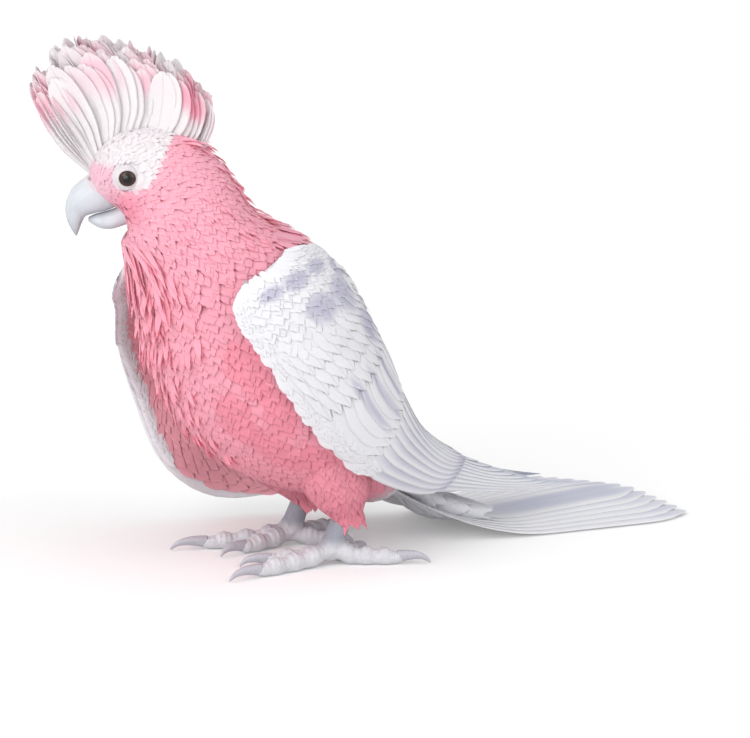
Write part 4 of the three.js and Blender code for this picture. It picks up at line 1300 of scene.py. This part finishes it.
# the right wing's inner face: quills from the hand, then the lining
word = "right"
rng = np.random.default_rng(700)
count = INNER_QUILLS
order = np.linspace(0, 1, count)
tips = np.interp(order, [0, 1], [6.5, 6.2])
wing_feathers("inner_quills", word, 2.2, 0.08 + 0.86 * order, 0.1 + 0.84 * order, reach(word, 2.2, tips),
              share_of(word, 4.6, count, 2.1), -0.6 * MM, 0.1 * MM, rng, inner_quill_shade, inner=True,
              rows=22, columns=11, tip=0.8, point=0.05, fray=0.01, roll=-0.45 * MM, camber=0.012,
              ridge=0.25 * MM, thick=0.35 * MM)
root_t, root_v, length = small_roots(word, True, lining_length, (0.05, 5.9), (0.06, 0.97), 0.085,
                                     (0.33, 2.6), rng)
wing_feathers("wing_lining", word, root_t, root_v, root_v + 0.03, length, length * 0.66, -1.2 * MM,
              rng.uniform(0.94, 1.0, len(length)) * MM, rng, lining_shade, small=True, inner=True, rows=8,
              columns=11, tip=0.4, point=0.15, fray=0.05, turn=rng.normal(0.04, 0.05, len(length)))

# ---------------------------------------------------------------- mantle
# Long pale feathers that hang from the nape, where they are pink, and fall over the wings' upper
# edges. They are rooted down the middle of the back, most of them high up.
MANTLE_COUNT = 320
MANTLE_TOP = 8.7  # the highest roots' ring
MANTLE_FALL = 4.3  # how many rings lower the lowest are
MANTLE_WIDTH_SHARE = 0.42
rng = np.random.default_rng(750)
count = MANTLE_COUNT
t = MANTLE_TOP - MANTLE_FALL * rng.uniform(0, 1, count) ** 1.3
angle = np.radians(rng.uniform(-62, 62, count)) * np.interp(t, [4.4, 6.9, 8.7], [0.3, 0.55, 1])
length = np.interp(t, [4.4, 7.4, 8.7], [28, 24, 12]) * rng.uniform(0.8, 1.1, count) * MM
high = np.interp(t, [6.9, 8.7], [5.4, 2.8]) * rng.uniform(0.9, 1.2, count) * MM
colour = PINK_NECK + (WING_WHITE - PINK_NECK) * (1 - step(t, 7.9, 8.6))[:, None]
sizes = (length, length * MANTLE_WIDTH_SHARE, -1.5 * MM, high)
small_coat("mantle", body_place(t, angle), body_roots(t, angle), sizes, colour, (0.95, 1.03), rng,
           pale=(0.93, 0.08, 0), slot="grey_feather", rows=9, columns=9, tip=0.4, point=0.15, fray=0.05,
           rise=1.5, turn=rng.normal(0, 0.12, count))

# ---------------------------------------------------------------- tail
# Twelve broad quills grow out of the rump and are fanned over the floor, each a stiff vane on a pale
# shaft. The middle pair lies on top, and each quill further out is under its neighbour.
TAIL_COUNT, TAIL_LENGTH, TAIL_WIDTH = 12, 150, 25
TAIL_SPREAD = 30  # degrees over the whole fan
TAIL_ROOT = (1.7, 29)  # how far apart the roots are, and how far back
TAIL_HEIGHT = (0.45, 24.55)  # of a quill lying on the floor, and what its root has more
TAIL_GREY = srgb(212, 214, 231)
from_middle = np.arange(TAIL_COUNT) - (TAIL_COUNT - 1) / 2
order = np.argsort(-np.abs(from_middle), kind="stable")
from_middle = from_middle[order]
bearing = np.radians(from_middle * TAIL_SPREAD / (TAIL_COUNT - 1))
stack = 0.42 * (TAIL_COUNT / 2 - np.abs(from_middle)) * MM
length = (TAIL_LENGTH - 0.9 * np.abs(from_middle)) * MM


def tail_place(x, y, height):
    """Points of the tail's quills: each runs straight out on its bearing, and falls from the rump to the
    floor over its first half, as the square of what is left of it."""
    share = y / each(length)
    fall = np.clip(1 - share / 0.5, 0, 1) ** 2
    way = each(bearing)
    root = each(from_middle) * TAIL_ROOT[0] * MM
    z = TAIL_HEIGHT[0] * MM + each(stack) * np.clip(share * 3, 0, 1) + TAIL_HEIGHT[1] * MM * fall
    return np.stack([
        root + y * np.sin(way) + x * np.cos(way),
        TAIL_ROOT[1] * MM + y * np.cos(way) - x * np.sin(way),
        np.maximum(z + height, 0.0),
    ], -1) + ORIGIN


rng = np.random.default_rng(800)
points, vane, u, x = vanes(tail_place, length, TAIL_WIDTH * MM, 0.3 * MM, 0.45 * MM, rng, rows=36,
                           columns=15, tip=0.86, fray=0.004, point=0.06, camber=0.012, ridge=0.4 * MM,
                           thick=0.5 * MM)
streak = (1 - step(np.abs(x), 0.25, 0.85)) * step(u, 0.25, 0.6) * (1 - 0.35 * step(u, 0.9, 1))
tint = WING_WHITE + (TAIL_GREY - WING_WHITE) * streak * each(rng.uniform(0.6, 1, (TAIL_COUNT, 1)))
maps = {"OFBake": strip_map(TAIL_COUNT, *points.shape[1:3]), "vane": vane}
tail = grid_object("tail_quills", points, True, tint=tint, maps=maps)
hand_on(tail, large_feather, "grey_feather", "tail")

# ---------------------------------------------------------------- feet
# Grey legs and zygodactyl feet, two toes ahead and two behind, in one scaly skin: small pebbles on the
# shank, broad scutes over the tops of the toes.
# bearing from straight ahead, outwards; length; joints; length of the claw
TOES = {
    "inner_front": (-17, 27, 3, 10.5),
    "outer_front": (11, 38, 4, 13),
    "inner_back": (-152, 18, 2, 9),
    "outer_back": (152, 30, 4, 11),
}
# share of the way down, and radius against the usual one: heel, waist, shank, ankle and hub
SHANK_SHARES = [0, 0.3, 0.6, 0.85, 1]
SHANK_SWELL = [1.15, 0.92, 0.97, 1.15, 0.6]
SHANK_RADIUS = 4.4
SCUTE_LENGTH = 2.4
FOOT_VOXEL = 0.46 * MM
CLAW_IN_TOE = 2.5  # how far a claw starts inside its toe
CLAW_BEND = 1.35  # radians over its length
CLAW_LEAN = 0.9
LEG_GREY = srgb(158, 162, 174)
TOE_GREY = srgb(222, 223, 228)
CLAW_GREY = srgb(186, 185, 194)


def at_foot(word, points, bearing=0.0):
    """Points made along -Y, turned to a digit's bearing and the foot's way, and set where it stands."""
    side, x, y, turn = LEGS[word]
    turn = math.radians(side * bearing + turn)
    along_x, along_y, z = np.moveaxis(points, -1, 0)
    return np.stack([
        x * MM + along_x * math.cos(turn) - along_y * math.sin(turn),
        y * MM + along_x * math.sin(turn) + along_y * math.cos(turn),
        np.maximum(z, 0),
    ], -1) + ORIGIN


def toe_at(toe, share):
    """A toe's run, the height of its middle and its radius: it swells at its joints, and climbs to the
    hub over the first half of its length."""
    _, length, joints, _ = toe
    radius = 4.1 - 1.2 * share + 0.35 * np.cos(2 * np.pi * joints * share)
    return share * length, radius - 0.45 + 3.4 * np.clip(1 - 2.2 * share, 0, 1) ** 2, radius


def toe_rings(toe):
    """A toe's skin: round rings along its run, with a sawtooth of the run for the scutes on top, a wave
    of it for the pads underneath, and a round narrowing at the claw."""
    share = np.linspace(-0.06, 1, 90)[:, None]
    run, height, radius = toe_at(toe, share)
    angle = RING[None, ::2]
    scutes = 0.7 * ((share * toe[1] / SCUTE_LENGTH) % 1) * np.clip(np.cos(angle) + 0.3, 0, 1)
    pads = 0.3 * np.cos(2 * np.pi * toe[2] * share) * np.clip(-np.cos(angle), 0, 1)
    ending = 1 - 0.5 * step(share, 0.86, 1.0) ** 1.5
    size = (radius + scutes + pads) * ending
    places = [size * np.sin(angle), -run + 0 * angle, height + size * np.cos(angle)]
    return np.stack(places, -1) * MM


def shank_rings():
    """A shank's skin, from inside the thigh's feathers to the hub: level oval rings, their radius read
    between the shares of the way down, and their middle moving forwards in a straight line."""
    share = np.linspace(-0.25, 1, 60)[:, None]
    radius = SHANK_RADIUS * np.interp(share, SHANK_SHARES, SHANK_SWELL)
    angle = RING[None, ::2]
    middle = 9 - 9.5 * np.clip(share * 1.15, -1, 1)
    tall = 27 - 25.2 * share
    places = [radius * np.sin(angle), middle + 1.1 * radius * np.cos(angle), tall + 0 * angle]
    return np.stack(places, -1) * MM


def claw_rings(toe):
    """A claw: it leaves the toe level and bends down to the floor. Its run is the sine of a growing
    angle, its height falls as a power of the share over a half sine's hump, and its rings are ovals,
    flatter above, that lean with it and thin to a point."""
    share = np.linspace(0, 1, 40)[:, None]
    run, height, _ = toe_at(toe, 1.0)
    size = 2.1 - 1.8 * share ** 1.2
    out = (toe[3] + CLAW_IN_TOE) * np.sin(CLAW_BEND * share) / math.sin(CLAW_BEND)
    middle_z = height + 0.6 + (0.55 - height - 0.6) * share ** 2.2 + 0.9 * np.sin(np.pi * share)
    angle = RING[None, ::3]
    over = size * 1.25 * np.cos(angle) * (1 - 0.15 * np.cos(angle))
    return np.stack([
        size * np.sin(angle) + 0 * share,
        -(run - CLAW_IN_TOE + out) - np.sin(CLAW_LEAN * share) * over,
        middle_z + np.cos(CLAW_LEAN * share) * over,
    ], -1) * MM


def claw_material():
    """Grey horn, smooth and a little streaked."""
    material, tree = new_material("claw horn")
    colour = shaded(tree, noise(tree, 900, 6), 0.75, 1.15)
    shader = add_node(tree, "BsdfPrincipled", {"Base Color": colour, "Roughness": 0.35})
    bumped(tree, shader, noise(tree, 1600), 0.1 * MM)
    add_node(tree, "OutputMaterial", {"Surface": shader.outputs[0]})
    return material


leg_skin = pebbled_material("leg skin", 1400, 0.15 * MM, 0.6, 0.84)
claw_horn = claw_material()
for word in LEGS:
    parts = [(shank_rings(), 0.0)] + [(toe_rings(toe), toe[0]) for toe in TOES.values()]
    shells = [grid_object("shell", at_foot(word, with_ends(rings), bearing), True, weld=True)
              for rings, bearing in parts]
    foot = melted("foot_" + word, shells, FOOT_VOXEL)
    tall = vertex_places(foot)[:, 2] / MM
    paint(foot, TOE_GREY + (LEG_GREY - TOE_GREY) * step(tall, 6, 12)[:, None])
    hand_on(foot, leg_skin, "leg_skin", "shank_" + word, *["toe_%s_%s" % (digit, word) for digit in TOES])
    for digit, toe in TOES.items():
        name = "%s_%s" % (digit, word)
        claw = closed_piece("claw_horn_" + name, at_foot(word, claw_rings(toe), toe[0]), CLAW_GREY)
        hand_on(claw, claw_horn, "claw_horn", "claw_" + name)

# ---------------------------------------------------------------- the model's box
# The box round the dressed model.
low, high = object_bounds()
